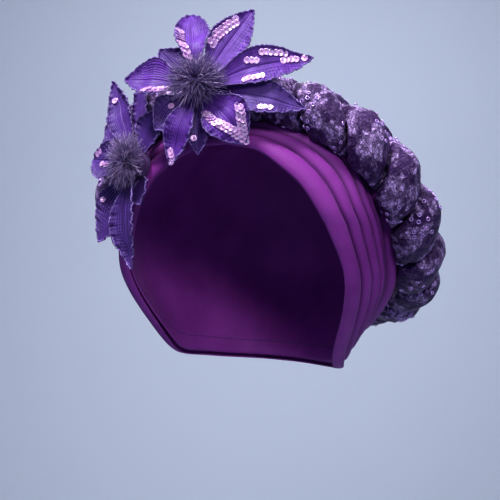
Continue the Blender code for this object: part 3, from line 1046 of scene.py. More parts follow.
@dataclass(frozen=True)
class Crown:
    """The jersey cap, with its hem stitches."""

    head: HeadForm
    cloths: Cloths
    hem_rise: float = 3.0
    columns: int = 160
    rows: int = 56
    gathers: int = 12
    gather_height: float = 0.0011
    gathers_start: float = 0.45
    fine_gathers: int = 31
    fine_height: float = 0.0004
    ease: float = 0.0004
    ease_scale: float = 38.0
    skin: float = 0.0002
    mapped_width: float = 0.55
    flat: Spread = (0.30, 0.36)
    area: float = 0.074
    stitch_count: int = 190
    stitch_length: float = 0.0021
    stitch_radius: float = 0.00026
    stitch_rise: float = 0.055
    stitch_bend: float = 0.0003
    stitch_sink: float = 0.00005

    def places(self, columns: int, share: Array) -> tuple[Array, Array]:
        """Around and up of the cap's places, by share from the rim to the top.

        Args:
            columns: how many places go round.
            share: the rows' shares from the rim to the top.

        Returns:
            Both angles by row and column.
        """
        rim = smooth_rows(both_sides([row[:2] for row in PANEL_ROWS]), np.arange(columns) / columns)
        around = np.broadcast_to(rim[:, 0], (len(share), columns))
        up = (rim[:, 1] + self.hem_rise) * (1 - share[:, None]) + 90 * share[:, None]
        return around, up

    def folds(self, around: Array, up: Array, share: Array) -> Array:
        """How far the cloth stands off the form: gathers, finer ones between them, and a slight ease.

        Args:
            around: the places' angle round the head.
            up: their angle of height.
            share: each row's share from the rim to the top.

        Returns:
            The height at each place.
        """
        turn = np.radians(around)
        inside = np.clip((share - self.gathers_start) / (1 - self.gathers_start), 0, 1)[:, None]
        wave = np.cos(self.gathers * turn + 1.1 * np.sin(2 * turn + 0.6) + 0.6 * np.sin(5 * turn))
        fold = (0.5 + 0.5 * wave) ** 1.6 * np.sin(np.pi * inside) ** 0.8
        between = 0.5 + 0.5 * np.cos(self.fine_gathers * turn + 2 * np.sin(3 * turn))
        small = between * np.sin(np.pi * inside**2)
        ease = self.ease * noise_at(self.head.surface(around, up), self.ease_scale, 3.0)
        ease = ease * np.minimum(1, 8 * share)[:, None]
        return self.gather_height * fold + self.fine_height * small + ease + self.skin

    def build(self, finishes: Wardrobe) -> None:
        """Makes the cap and its stitches.

        Args:
            finishes: the finishes.
        """
        share = np.arange(self.rows) / self.rows
        around, up = self.places(self.columns, share)
        points = self.head.over(around, up, self.folds(around, up, share))
        along = travelled(points)
        first = np.arange(self.columns)
        last = (self.rows - 1) * self.columns
        top = np.full(self.columns, self.rows * self.columns)
        fan = np.stack([last + first, last + (first + 1) % self.columns, top], -1)
        crown = np.array([[0, 0, self.head.crown_height + self.skin]])
        pile = Pile()
        quads = grid_faces(self.rows, self.columns, wrap_columns=True)
        pile.add(np.concatenate([points.reshape(-1, 3), crown]), [quads, fan])
        width = self.mapped_width * np.arange(self.columns + 1) / self.columns
        pile.map("cut", grid_corners(*np.meshgrid(width, along)))
        pile.map("cut", np.tile([0.0, along[-1]], (3 * self.columns, 1)))
        cap = pile.piece("crown_cap", finishes.jersey, Slot.JERSEY, "cap")
        thicken(cap, self.cloths.cap_wall - self.skin, 1)
        trims = [self.stitches(finishes)]

    def stitches(self, finishes: Wardrobe) -> Item:
        """The hem's stitches, on the cap's inner face.

        Args:
            finishes: the finishes.

        Returns:
            The stitches' piece.
        """
        around, up = self.places(self.stitch_count, np.array([self.stitch_rise, self.stitch_rise + 0.01]))
        middle = self.head.over(around[0], up[0], -self.stitch_sink)
        forward = unit(ring_slope(middle))
        outwards = self.head.outwards(around[0], up[0])
        steps = np.linspace(-1, 1, 6)
        paths = middle[:, None] + forward[:, None] * steps[:, None] * self.stitch_length / 2
        paths += outwards[:, None] * (self.stitch_bend * (steps**4)[:, None])
        radii = self.stitch_radius * np.array([0.5, 0.95, 1, 1, 0.95, 0.5])[None, :, None]
        pile = Pile()
        pile.add(*tubes(paths, radii, 6, np.broadcast_to(outwards[:, None], paths.shape)), tone=0.15)
        return pile.piece("cap_hem_stitches", finishes.cord, Slot.JERSEY)


@dataclass(frozen=True)
class PleatedFront:
    """The pleated jersey front, in a panel for each side."""

    head: HeadForm
    cloths: Cloths
    pleat_height: float = 0.0050
    valley: float = 0.0021
    split: float = 0.0002
    underlap: float = 0.30
    underlap_height: float = 0.60
    underlap_steps: int = 9
    rows: int = 160
    steps: int = 15
    rounding: float = 0.15
    squareness: float = 0.78
    # how strong the painted shade in the folds' valleys gets
    painted_valley_shade: float = 0.95
    crease_height: float = 0.00022
    crease_pitch: float = 0.046
    rumple: float = 0.00022
    rumple_scale: float = 90.0
    wander: float = 0.006
    swell: float = 0.10
    wall: float = 0.0008
    flat: Spread = (0.09, 0.31)

    def profile(self) -> tuple[Array, Array]:
        """Across and height of the folds, from the rim to under the plait.

        Returns:
            The places across the panel, and the height at each as a share.
        """
        angle = np.linspace(0, np.pi, self.steps)
        across, height, start = [], [], 0.0
        for pleat in PLEATS:
            share = self.rounding * (1 - np.cos(angle)) + (1 - 2 * self.rounding) * angle / np.pi
            across.append(start + (pleat.end - start) * share)
            height.append(pleat.height * np.sin(angle) ** self.squareness - self.valley / self.pleat_height)
            start = pleat.end
            angle = np.linspace(0, np.pi, self.steps)[1:]
        across.append(np.linspace(start, 1 + self.underlap, self.underlap_steps)[1:])
        height.append(self.underlap_height * step_up(across[-1], 1.0, 1.10))
        return np.concatenate(across), np.concatenate(height)

    def build(self, finishes: Wardrobe) -> None:
        """Makes both panels."""
        for name, side in (("left", 1), ("right", -1)):
            self.panel(name, side, finishes)

    def surface(self, side: int) -> tuple[Array, Array]:
        """A panel's outer surface.

        Args:
            side: 1 on the wearer's left, -1 on the right.

        Returns:
            The points, and a tone that paints shade into the folds' valleys.
        """
        share = np.linspace(0, 1, self.rows)
        rows = smooth_rows(PANEL_ROWS, share)
        across, height = self.profile()
        wander = sum(
            np.sin(rate * share[:, None] * 2 * np.pi + 7 * turn + side + rate * across)
            for rate, turn in ((1.3, 0.3), (2.9, 0.9), (5.2, 0.1))
        )
        ends = np.sin(np.pi * share[:, None]) ** 0.5
        low = -self.valley / self.pleat_height
        # painted shade: strongest low in each valley, fading out towards the ridge's top
        depth = (1 - step_up(height - low, 0.10, 0.72)) * step_up(across, 0.02, 0.10)
        first = step_up(across, 0.02, 0.06) * (1 - step_up(across, 0.20, 0.26))
        lines = self.crease_height * first * np.cos(2 * np.pi * across / self.crease_pitch + 0.8 * wander)
        across = across + self.wander * wander * ends * np.sin(np.pi * np.clip(across, 0, 1)) ** 0.5
        around = rows[:, :1] * (1 - across) + rows[:, 2:3] * across
        up = rows[:, 1:2] * (1 - across) + rows[:, 3:4] * across
        swell = 1 + self.swell * np.sin(9 * share + 2 * side)[:, None] * ends
        rumple = self.rumple * noise_at(self.head.surface(around, up), self.rumple_scale, 5.0 + side)
        seat = self.cloths.panel_seat + self.cloths.panel_wall
        rise = seat + self.pleat_height * height * swell + rumple + lines * ends
        points = self.head.over(around, up, rise)
        points[[0, -1], :, 0] = self.split / 2
        points[..., 0] *= side
        return points, self.painted_valley_shade * depth * ends

    def panel(self, name: str, side: int, finishes: Wardrobe) -> None:
        """Makes a panel.

        Args:
            name: left or right.
            side: 1 on the wearer's left, -1 on the right.
            finishes: the finishes.
        """
        points, tone = self.surface(side)
        faces = grid_faces(*points.shape[:2])
        corners = grid_corners(*np.meshgrid(travelled(points, 1), travelled(points))).reshape(-1, 4, 2)
        if side > 0:
            faces, corners = faces[:, ::-1], corners[:, ::-1]
        pile = Pile()
        # the tone carries the painted valley shade to the jersey's material
        pile.add(points, [faces], tone.ravel())
        pile.map("cut", corners)
        panel = pile.piece(f"pleated_front_{name}", finishes.jersey, Slot.JERSEY, f"pleat_panel_{name}")
        thicken(panel, self.wall, -1)


class Stations(NamedTuple):
    """Even stations along the plait: middle, across, outwards and section size."""

    middle: Array
    across: Array
    outwards: Array
    size: Array


@dataclass(frozen=True)
class Plait:
    """The ring plaited from three padded lace strands."""

    head: HeadForm
    cloths: Cloths
    half_width: float = 0.0195
    half_thickness: float = 0.0145
    settle: float = 1.5
    swing: float = 0.0130
    lift: float = 0.0045
    tilt: float = 0.0060
    sink: float = 0.0112
    periods: int = 7
    phase: float = 21.0
    setback: float = 9.0
    gap: float = 0.0008
    strands: int = 3
    samples: int = 720
    rings: int = 240
    sides: int = 18
    shrink_steps: int = 20
    window: int = 70
    ring_cuts: int = 3
    side_cuts: int = 3
    wrinkle: float = 0.0009
    tuck_in: float = 0.0002
    mapped_width: float = 0.078
    fill: float = 0.8
    sequins_a_strand: int = 300
    fewest_in_group: int = 4
    most_in_group: int = 12
    group_rings: int = 5
    group_sides: int = 4
    most_tries: int = 4000
    sequin_space: float = 2.2
    sequin_lift: float = 0.0003
    sequin_tilt: float = 0.12
    look_from: float = 0.0015
    open_air: float = 0.02

    def stations(self, count: int) -> Stations:
        """The plait's stations, from the nape.

        Args:
            count: how many.

        Returns:
            The stations, at even steps round the ring.
        """
        rows = smooth_rows(both_sides(BRAID_ROWS), np.linspace(0, 1, self.samples + 1))
        rows[:, 0] -= self.setback * np.where(rows[:, 0] < 0, np.sin(np.radians(rows[:, 0])) ** 2, 0)
        seat = self.cloths.plait_seat
        middle = self.head.over(rows[:, 0], rows[:, 1], seat + self.sink * rows[:, 2])
        length = travelled(middle)
        even = np.arange(count) * length[-1] / count
        around, up, size = (np.interp(even, length, rows[:, column]) for column in range(3))
        middle = self.head.over(around, up, seat + self.sink * size)
        outwards = self.head.outwards(around, up)
        return Stations(middle, unit(np.cross(outwards, ring_slope(middle))), outwards, size)

    def line(self, stations: Stations, strand: int, lifted: bool = True) -> Array:
        """A strand's middle line through the stations.

        Args:
            stations: the plait's stations.
            strand: which strand, from 0.
            lifted: whether it rises where it crosses over another.

        Returns:
            A point for each station.
        """
        share = np.arange(len(stations.size)) / len(stations.size)
        phase = np.radians(self.phase) + 2 * np.pi * (self.periods * share + strand / self.strands)
        swing = (self.swing * stations.size * np.sin(phase))[:, None]
        rise = self.lift * np.sin(2 * phase) * lifted - self.tilt * np.sin(phase)
        return stations.middle + stations.across * swing + stations.outwards * (rise * stations.size)[:, None]

    def surface(self, strand: int) -> Array:
        """Rings of points round a strand, pressed flat against its neighbours and the panels.

        Args:
            strand: which strand, from 0.

        Returns:
            Points by ring and side.
        """
        fine = self.stations(self.samples)
        own = self.line(fine, strand)
        others = [self.line(fine, other) for other in range(self.strands) if other != strand]
        stations = self.stations(self.rings)
        centre = self.line(stations, strand)
        flat = self.line(stations, strand, lifted=False)
        sideways = unit(np.cross(stations.outwards, ring_slope(flat)))
        angle = 2 * np.pi * (np.arange(self.sides) + 0.5) / self.sides
        wide = self.half_width * np.cos(angle)[None, :, None] * sideways[:, None]
        height = self.half_thickness * np.where(np.sin(angle) < 0, self.settle, 1) * np.sin(angle)
        thick = height[None, :, None] * stations.outwards[:, None]
        spoke = (wide + thick) * stations.size[:, None, None]
        down = -(spoke * stations.outwards[:, None]).sum(-1)
        room = self.sink * stations.size + ((centre - stations.middle) * stations.outwards).sum(-1)
        reach = np.where(down > 0, np.minimum(1, room[:, None] / np.maximum(down, 1e-9)), 1)
        share = np.arange(1, self.shrink_steps + 1) / self.shrink_steps
        every = self.samples // self.rings
        for ring in range(self.rings):
            near = np.arange(ring * every - self.window, ring * every + self.window) % self.samples
            tries = centre[ring] + spoke[ring][:, None] * (reach[ring][:, None] * share)[..., None]
            beside = np.concatenate([line[near] for line in others])
            spare = self.nearest(tries, beside) - self.nearest(tries, own[near]) - self.gap
            stopped = np.concatenate([spare < 0, np.ones((self.sides, 1), bool)], -1)
            free = np.argmax(stopped, axis=-1)
            side = np.arange(self.sides)
            before = spare[side, np.maximum(free - 1, 0)]
            after = spare[side, np.minimum(free, self.shrink_steps - 1)]
            caught = (free > 0) & (free < self.shrink_steps)
            part = np.where(caught, before / np.maximum(before - after, 1e-9), 0)
            reach[ring] *= np.maximum(free + part, 1) / self.shrink_steps
        return centre[:, None] + spoke * reach[..., None]

    @staticmethod
    def nearest(points: Array, line: Array) -> Array:
        """Each point's distance from the closest point of a line."""
        return np.linalg.norm(points[..., None, :] - line, axis=-1).min(-1)

    def wrinkled(self, points: Array, strand: int) -> Array:
        """The strand's surface with the small folds of its lace cover.

        Args:
            points: the smooth surface.
            strand: which strand, from 0.

        Returns:
            The points moved.
        """
        rings, sides = points.shape[:2]
        normals = grid_normals(points, True, True)
        turn, share = full_turn(sides), full_turn(rings)[:, None]
        folds = np.zeros((rings, sides))
        chance = np.random.default_rng(70 + strand)
        for count, size in ((5, 0.40), (7, 0.35), (11, 0.25)):
            sway = sum(
                chance.uniform(0.5, 1.2) * np.sin(chance.integers(9, 30) * share + chance.uniform(0, 6))
                for _ in range(3)
            )
            folds += size * (1 - np.abs(np.sin(count * turn / 2 + sway)) * 2)
        puff = noise_at(points, 75, 11.0 * strand + 2) * 0.9 + noise_at(points, 190, 5.0 * strand) * 0.45
        amount = self.wrinkle * (0.45 * folds + puff)
        return points + normals * (amount - self.tuck_in)[..., None]

    def build(self, finishes: Wardrobe) -> None:
        """Makes the strands with their sequins.

        Args:
            finishes: the finishes.
        """
        coarse = [self.surface(strand) for strand in range(self.strands)]
        pile = Pile()
        for rough in coarse:
            pile.add(rough, [grid_faces(*rough.shape[:2], True, True)])
        tree = pile.tree()
        for strand, rough in enumerate(coarse):
            points = self.wrinkled(finer_grid(rough, self.ring_cuts, self.side_cuts, True), strand)
            self.strand(points, strand, finishes)
            self.sequins(points, strand, tree, finishes)

    def strand(self, points: Array, strand: int, finishes: Wardrobe) -> None:
        """Makes one strand's cover.

        Args:
            points: its surface.
            strand: which strand, from 0.
            finishes: the finishes.
        """
        rings, sides = points.shape[:2]
        pile = Pile()
        pile.add(points, [grid_faces(rings, sides, True, True)])
        step = np.linalg.norm(np.roll(points, -1, axis=0) - points, axis=-1).mean()
        width = self.mapped_width * np.arange(sides + 1) / sides + 0.3 * strand
        pile.map("cut", grid_corners(*np.meshgrid(width, step * np.arange(rings + 1))))
        number = strand + 1
        item = pile.piece(f"plait_strand_{number}", finishes.lace, Slot.LACE, f"braid_strand_{number}")

    def sequins(self, points: Array, strand: int, tree: BVHTree, finishes: Wardrobe) -> None:
        """Sews small cup sequins in groups where the strand lies open.

        Args:
            points: the strand's surface.
            strand: which strand, from 0.
            tree: the search tree of all the strands.
            finishes: the finishes.
        """
        rings, sides = points.shape[:2]
        normals = grid_normals(points, True, True)
        chance = np.random.default_rng(20 + strand)
        pile, taken, tries = Pile(), [], 0
        while len(taken) < self.sequins_a_strand and tries < self.most_tries:
            group_ring, group_side = chance.integers(rings), chance.integers(sides)
            for _ in range(chance.integers(self.fewest_in_group, self.most_in_group + 1)):
                tries += 1
                ring = (group_ring + chance.integers(-self.group_rings, self.group_rings + 1)) % rings
                side = (group_side + chance.integers(-self.group_sides, self.group_sides + 1)) % sides
                around = points.take(range(ring - 4, ring + 5), 0, mode="wrap")
                around = around.take(range(side - 2, side + 3), 1, mode="wrap")
                place = points[ring, side]
                normal = unit(np.cross(around[-1, 2] - around[0, 2], around[4, -1] - around[4, 0]))
                normal = normal * np.sign(normal @ normals[ring, side])
                place = place + normal * max(0, ((around - place) @ normal).max() - self.tuck_in)
                over = place + normal * self.look_from
                if tree.ray_cast(Vector(over), Vector(normal), self.open_air)[0] is not None:
                    continue
                space = self.sequin_space * RING_SEQUIN.radius
                if taken and np.linalg.norm(np.array(taken) - place, axis=1).min() < space:
                    continue
                taken.append(place)
                tilt = unit(normal + self.sequin_tilt * chance.normal(size=3))
                RING_SEQUIN.sew(pile, place + normal * self.sequin_lift, tilt, chance.normal(size=3))
        pile.piece(f"plait_strand_{strand + 1}_sequins", finishes.ring_foil, Slot.LACE)


@dataclass(frozen=True)
class Sequin:
    """A sequin: its radius, its section's points outwards and up as shares of that, and its sides."""

    radius: float
    section: tuple[Spread, ...]
    sides: int

    def sew(self, pile: Pile, place: Array, normal: Array, hint: Array) -> None:
        """Adds the sequin to a pile.

        Args:
            pile: the mesh that takes it.
            place: its centre.
            normal: its axis.
            hint: a direction that sets where its sides start.
        """
        right = unit(np.cross(normal, hint))
        ahead = np.cross(normal, right)
        angle = full_turn(self.sides)
        spokes = np.cos(angle)[:, None] * right + np.sin(angle)[:, None] * ahead
        rings = [place + self.radius * (out * spokes + rise * normal) for out, rise in self.section]
        pile.add(np.array(rings), [grid_faces(len(rings), self.sides, True, True)[:, ::-1]])


RING_SEQUIN = Sequin(0.00145, ((0.50, 0.06), (0.64, 0.34), (0.84, 0.34), (1.00, 0.06), (0.75, 0.0)), 11)
FLAT_SEQUIN = Sequin(
    0.0020, ((0.17, 0.03), (0.30, 0.05), (0.82, 0.09), (1.00, 0.16), (1.00, 0.12), (0.17, -0.01)), 20
)


def node_tree(names: list[str]) -> BVHTree:
    """One search tree of the frame's nodes by these names.

    Args:
        names: the nodes' names.

    Returns:
        The tree.
    """
    points, faces = [], []
    for name in names:
        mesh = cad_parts[name].data
        first = len(points)
        points += [vertex.co.copy() for vertex in mesh.vertices]
        faces += [[first + corner for corner in polygon.vertices] for polygon in mesh.polygons]
    return BVHTree.FromPolygons(points, faces)


@dataclass(frozen=True)
class Cut:
    """The petals' full size and how they lie."""

    length: float = 0.064
    width: float = 0.027
    rest: float = 0.0020
    space: float = 0.0016
    climb: float = 0.0080
    rows: int = 6
    columns: int = 4
    samples: int = 4
    base_radius: float = 0.0090
    base_height: float = 0.0108
    clearance: float = 0.0003


@dataclass
class Bench:
    """What a flower's parts share: its place, the finishes, and the meshes of its cords and its sequins."""

    place: Matrix
    finishes: Wardrobe
    cords: Pile = field(default_factory=Pile)
    sequins: Pile = field(default_factory=Pile)


@dataclass(frozen=True)
class Flower:
    """A flower: felt backing, laid petals with corded edges and sequins, and a fringed centre."""

    plan: FlowerPlan
    head: HeadForm
    cloths: Cloths
    cut: Cut = Cut()
    row_cuts: int = 12
    column_cuts: int = 12
    tucks: float = 9.0
    tuck_height: float = 0.00034
    wall: float = 0.0005
    ruffle: float = 0.0008
    ruffle_lengths: Spread = (0.0011, 0.00052)
    scallop: float = 0.0006
    scallop_length: float = 0.00075
    scallop_drift: float = 0.0021
    middle_crease: float = 0.0008
    cord_radius: float = 0.00042
    cord_sides: int = 8
    cord_twist: float = 0.00030
    run_step: float = 1.6
    run_lift: float = 0.0007
    run_tilt: float = 0.16
    lane_space: float = 1.15
    lane_stagger: float = 0.75
    lane_lift: float = 0.0002
    felt_sides: int = 48
    threads: int = 900
    thread_steps: int = 9
    thread_sides: int = 3
    thread_radius: float = 0.00022
    tuft_radius: float = 0.0100
    tuft_sides: int = 24
    tuft_rings: int = 9
    most_lean: float = 97.0
    tone_spread: float = 0.10
    pale_share: float = 0.06
    pale_tone: float = 0.75
    tip_tone: float = 0.16

    def mount(self, cloth: BVHTree) -> Matrix:
        """The flower's place: its backing's centre on the cloth, with its axis as Z.

        Args:
            cloth: what the flower is sewn to.

        Returns:
            The place.
        """
        turn, tilt = np.radians(self.plan.turn), np.radians(self.plan.tilt)
        axis = np.array([np.sin(turn) * np.cos(tilt), -np.cos(turn) * np.cos(tilt), np.sin(tilt)])
        right = np.array([np.cos(turn), np.sin(turn), 0])
        up = np.cross(axis, right)
        foot = self.head.over(float(self.plan.around), float(self.plan.up), self.cloths.panel_seat)
        far = self.head.half_width
        highest = 0
        for radius in (0, 0.5, 1):
            for angle in np.linspace(0, 2 * np.pi, 28, endpoint=False):
                spread = self.cut.base_radius * radius * (np.cos(angle) * right + np.sin(angle) * up)
                hit = cloth.ray_cast(Vector(foot + spread + axis * far), Vector(-axis), far)
                if hit[3] is not None:
                    highest = max(highest, far - hit[3])
        place = Matrix(np.column_stack([right, up, axis])).to_4x4()
        place.translation = foot + axis * (highest + self.cloths.clearance)
        return place

    def petal_grid(self, petal: Petal) -> Array:
        """A petal's coarse surface in the flower's own frame: along the length, then across.

        Args:
            petal: the petal's plan.

        Returns:
            Points by row along the petal and column across it.
        """
        cut = self.cut
        along = np.linspace(0, 1, cut.rows + 1)
        rise = np.radians(petal.root + (petal.tip - petal.root) * along)
        middle = (rise[1:] + rise[:-1]) / 2
        step = cut.length * petal.length / cut.rows
        out = cut.base_radius + cut.clearance
        radius = out + np.concatenate([[0], np.cumsum(np.cos(middle) * step)])
        height = cut.base_height * petal.row.height + np.concatenate([[0], np.cumsum(np.sin(middle) * step)])
        outline = np.interp(along, *np.array(OUTLINE_ROWS).T)
        half = cut.width / 2 * petal.width * outline
        across = np.linspace(-1, 1, cut.columns + 1)
        turn, twist = np.radians(petal.angle), np.radians(petal.row.twist)
        away = np.array([np.cos(turn), np.sin(turn), 0])
        beside = np.array([-np.sin(turn), np.cos(turn), 0])
        axis = np.array([0, 0, 1])
        upright = np.cos(rise)[:, None] * axis - np.sin(rise)[:, None] * away
        sideways = np.cos(twist) * beside + np.sin(twist) * upright
        raised = np.cos(twist) * upright - np.sin(twist) * beside
        spine = radius[:, None] * away + height[:, None] * axis
        cup = petal.cup * cut.width * petal.width * outline[:, None] * across**2
        flat = (half[:, None] * across)[..., None] * sideways[:, None]
        return spine[:, None] + flat + cup[..., None] * raised[:, None]

    def lay_over(self, grid: Array, place: Matrix, under: BVHTree, space: float, climb: float) -> None:
        """Raises each row of a petal along the flower's axis until it clears what lies under it.

        Args:
            grid: the petal's points, which are moved.
            place: the flower's place.
            under: what the petal lies on.
            space: how far the petal stays above it.
            climb: how far above the petal the search starts.
        """
        samples = self.cut.samples
        axis = place.to_3x3() @ Vector((0, 0, 1))
        cuts = grid
        for _ in range(2):
            share = np.arange(samples * (len(cuts) - 1) + 1) / samples
            index = np.minimum(share.astype(int), len(cuts) - 2)
            part = (share - index)[:, None, None]
            cuts = (cuts[index] * (1 - part) + cuts[index + 1] * part).swapaxes(0, 1)
        needed = []
        for row in cuts:
            lift = 0
            for point in row:
                spot = place @ Vector(point)
                hit = under.ray_cast(spot + axis * climb, -axis, climb + space)[0]
                if hit is not None:
                    lift = max(lift, (hit - spot).dot(axis) + space)
            needed.append(lift)
        for index, row in enumerate(grid):
            middle = index * samples
            row[:, 2] += max(needed[max(middle - samples + 1, 0) : middle + samples])

    def build(self, finishes: Wardrobe, cloth: BVHTree, laid: list[str]) -> None:
        """Makes the flower.

        Args:
            finishes: the finishes of its pieces.
            cloth: what its petals lie on.
            laid: the petals that lie under its own, to which it adds them.
        """
        bench = Bench(self.mount(cloth), finishes)
        self.base(bench)
        petals = []
        for number, petal in enumerate(self.plan.petals, 1):
            grid = self.petal_grid(petal)
            self.lay_over(grid, bench.place, cloth, self.cut.rest, self.cut.length)
            if laid:
                self.lay_over(grid, bench.place, node_tree(laid), self.cut.space, self.cut.climb)
            petals.append(self.petal(number, petal, grid, bench))
            laid.append(f"{self.plan.name}_petal_{number}")
        trims = [bench.cords.piece(f"{self.plan.name}_edge_cords", finishes.cord, Slot.ORGANZA)]
        trims.append(bench.sequins.piece(f"{self.plan.name}_sequins", finishes.foil, Slot.ORGANZA))
        for item, flat, area in petals:
            trims = []
        self.tuft(bench)

    def petal(self, number: int, petal: Petal, grid: Array, bench: Bench) -> tuple[Item, Spread, float]:
        """Makes a petal, its corded edge and its sequins.

        Args:
            number: its number in the flower.
            petal: its plan.
            grid: its laid coarse surface.
            bench: what the flower's parts share.

        Returns:
            The petal's piece, its cut's width and length, and its cut's area.
        """
        fine = finer_grid(grid, self.row_cuts, self.column_cuts)
        normals = -grid_normals(fine)
        if normals[..., 2].mean() < 0:
            normals = -normals
        flat, area = self.flat_cut(fine)
        length = self.cut.length * petal.length
        points = carried(self.dressed(fine, normals, number, length), bench.place)
        outwards = normals @ np.array(bench.place.to_3x3()).T
        rows, columns = points.shape[:2]
        share_across, share_along = np.meshgrid(np.linspace(-1, 1, columns), np.linspace(0, 1, rows))
        width = np.linalg.norm(points[:, -1] - points[:, 0], axis=-1)[:, None] / 2
        pile = Pile()
        pile.add(points, [grid_faces(rows, columns)])
        pile.map("share", grid_corners(share_across, share_along))
        pile.map("cut", grid_corners(share_across * width + number, share_along * length))
        name = f"{self.plan.name}_lace_petal_{number}"
        node = f"{self.plan.name}_petal_{number}"
        item = pile.piece(name, bench.finishes.organza[petal.tint], Slot.ORGANZA, node)
        thicken(item, self.wall, 0)
        self.cord(points, outwards, bench.cords)
        for run in petal.runs:
            self.run(run, points, outwards, bench.sequins)
        return item, flat, area

    def dressed(self, fine: Array, normals: Array, number: int, length: float) -> Array:
        """A petal's surface with its tucks, ruffled edges, middle crease and scalloped rim.

        Args:
            fine: the smooth surface.
            normals: the way it faces.
            number: the petal's number, which shifts its waves.
            length: the petal's length.

        Returns:
            The points moved.
        """
        along = np.linspace(0, 1, len(fine))[:, None]
        across = np.linspace(-1, 1, fine.shape[1])[None]
        side, aside = np.sign(across), np.abs(across)
        wide = np.linalg.norm(fine[:, -1] - fine[:, 0], axis=-1)[:, None] / self.cut.width
        tucks = np.cos(2 * np.pi * self.tucks * across) * self.tuck_height * wide
        tucks = tucks * step_up(along, 0.0, 0.2) * (1 - step_up(along, 0.82, 1.0))
        travel = along * length
        turn = 2.1 * number + 1.3 * side
        long_wave, short_wave = self.ruffle_lengths
        ripple = 0.6 + 0.6 * np.sin(travel / long_wave + turn) + 0.4 * np.sin(travel / short_wave + 2 * turn)
        wave = self.ruffle * ripple * step_up(aside, 0.5, 1.0) * step_up(along, 0.1, 0.4)
        crease = -self.middle_crease * np.exp(-((across / 0.10) ** 2)) * np.sin(np.pi * along)
        drift = np.sin(travel / self.scallop_drift)
        teeth = np.abs(np.sin(travel / self.scallop_length + turn + drift)) - 0.5
        teeth = self.scallop * teeth * step_up(aside, 0.82, 1.0) * step_up(along, 0.1, 0.3)
        beside = unit(np.gradient(fine, axis=1)) * side[..., None]
        return fine + normals * (tucks + wave + crease)[..., None] + beside * teeth[..., None]

    @staticmethod
    def flat_cut(grid: Array) -> tuple[Spread, float]:
        """The width, length and area that a petal was cut to, to a tenth of a millimetre.

        Args:
            grid: the petal's surface.

        Returns:
            Its width and length, and its area.
        """
        width = np.linalg.norm(np.diff(grid, axis=1), axis=-1).sum(1).max()
        length = np.linalg.norm(np.diff(grid, axis=0), axis=-1).mean(1).sum()
        first, second = grid[1:, 1:] - grid[:-1, :-1], grid[1:, :-1] - grid[:-1, 1:]
        area = np.linalg.norm(np.cross(first, second), axis=-1).sum() / 2
        return (round(float(width), 4), round(float(length), 4)), round(float(area), 6)

    def cord(self, points: Array, outwards: Array, cords: Pile) -> None:
        """Lays a twisted cord round a petal's edge.

        Args:
            points: the petal's surface.
            outwards: the way it faces.
            cords: the mesh that takes the cord.
        """
        path = np.concatenate([points[:, 0], points[::-1, -1][1:]])
        up = np.concatenate([outwards[:, 0], outwards[::-1, -1][1:]])
        path, up = finer(path, 2), unit(finer(up, 2))
        travel = travelled(path)
        twist = np.cos(2 * full_turn(self.cord_sides) - (travel / self.cord_twist)[:, None])
        radii = self.cord_radius * (1 + 0.2 * twist)
        radii[[0, -1]] *= 0.4
        body, faces = tubes(path[None], radii[None], self.cord_sides, up[None])
        tone = np.repeat(0.45 + 0.25 * np.sin(travel * 400) * np.cos(travel * 97), self.cord_sides)
        cords.add(body, faces, tone)

    def run(self, run: Run, points: Array, outwards: Array, sequins: Pile) -> None:
        """Sews a run of overlapping sequins on a petal.

        Args:
            run: where it goes.
            points: the petal's surface.
            outwards: the way it faces.
            sequins: the mesh that takes them.
        """
        rows, columns = points.shape[:2]
        ends = np.array([[run.along, run.across], [run.to_along, run.to_across]])
        shares = np.linspace(0, 1, 60)[:, None]
        places = ends[0] * (1 - shares) + ends[1] * shares
        row = np.clip((places[:, 0] * (rows - 1)).round().astype(int), 0, rows - 1)
        column = np.clip(((places[:, 1] + 1) / 2 * (columns - 1)).round().astype(int), 0, columns - 1)
        path, normal = points[row, column], outwards[row, column]
        travel = travelled(path)
        radius = FLAT_SEQUIN.radius
        count = max(1, round(travel[-1] / (self.run_step * radius)))
        for index in range(count + 1):
            at = travel[-1] * index / count
            centre = np.array([np.interp(at, travel, path[:, axis]) for axis in range(3)])
            lift = unit(np.array([np.interp(at, travel, normal[:, axis]) for axis in range(3)]))
            ahead = unit(path[min(len(path) - 1, np.searchsorted(travel, at) + 3)] - path[0])
            beside = unit(np.cross(lift, ahead))
            for lane in range(run.abreast):
                odd = lane % 2
                shift = (lane - (run.abreast - 1) / 2) * self.lane_space * radius
                stagger = self.lane_stagger * radius * odd
                above = self.run_lift + self.lane_lift * odd
                spot = centre + beside * shift + ahead * stagger + lift * above
                FLAT_SEQUIN.sew(sequins, spot, unit(lift - self.run_tilt * ahead), ahead)

    def base(self, bench: Bench) -> None:
        """Makes the felt backing, a pressed disc with a soft edge and two grooves round it.

        Args:
            bench: what the flower's parts share.
        """
        radius, height = self.cut.base_radius, self.cut.base_height
        section = [
            (0.02, 0.0), (0.5, 0.0), (0.90, 0.0), (0.98, 0.0005), (1.0, 0.0012), (1.0, 0.0035),
            (0.985, 0.0040), (1.0, 0.0045), (1.0, 0.0068), (0.985, 0.0072), (1.0, 0.0077),
            (1.0, height - 0.0012), (0.98, height - 0.0004), (0.92, height), (0.5, height), (0.02, height),
        ]
        rings = turned([(radius * out, rise) for out, rise in section], self.felt_sides)
        pile = Pile()
        pile.add(carried(rings, bench.place), closed_ends(len(section), self.felt_sides))
        pile.piece(f"{self.plan.name}_felt", bench.finishes.felt, Slot.FELT, f"{self.plan.name}_base")

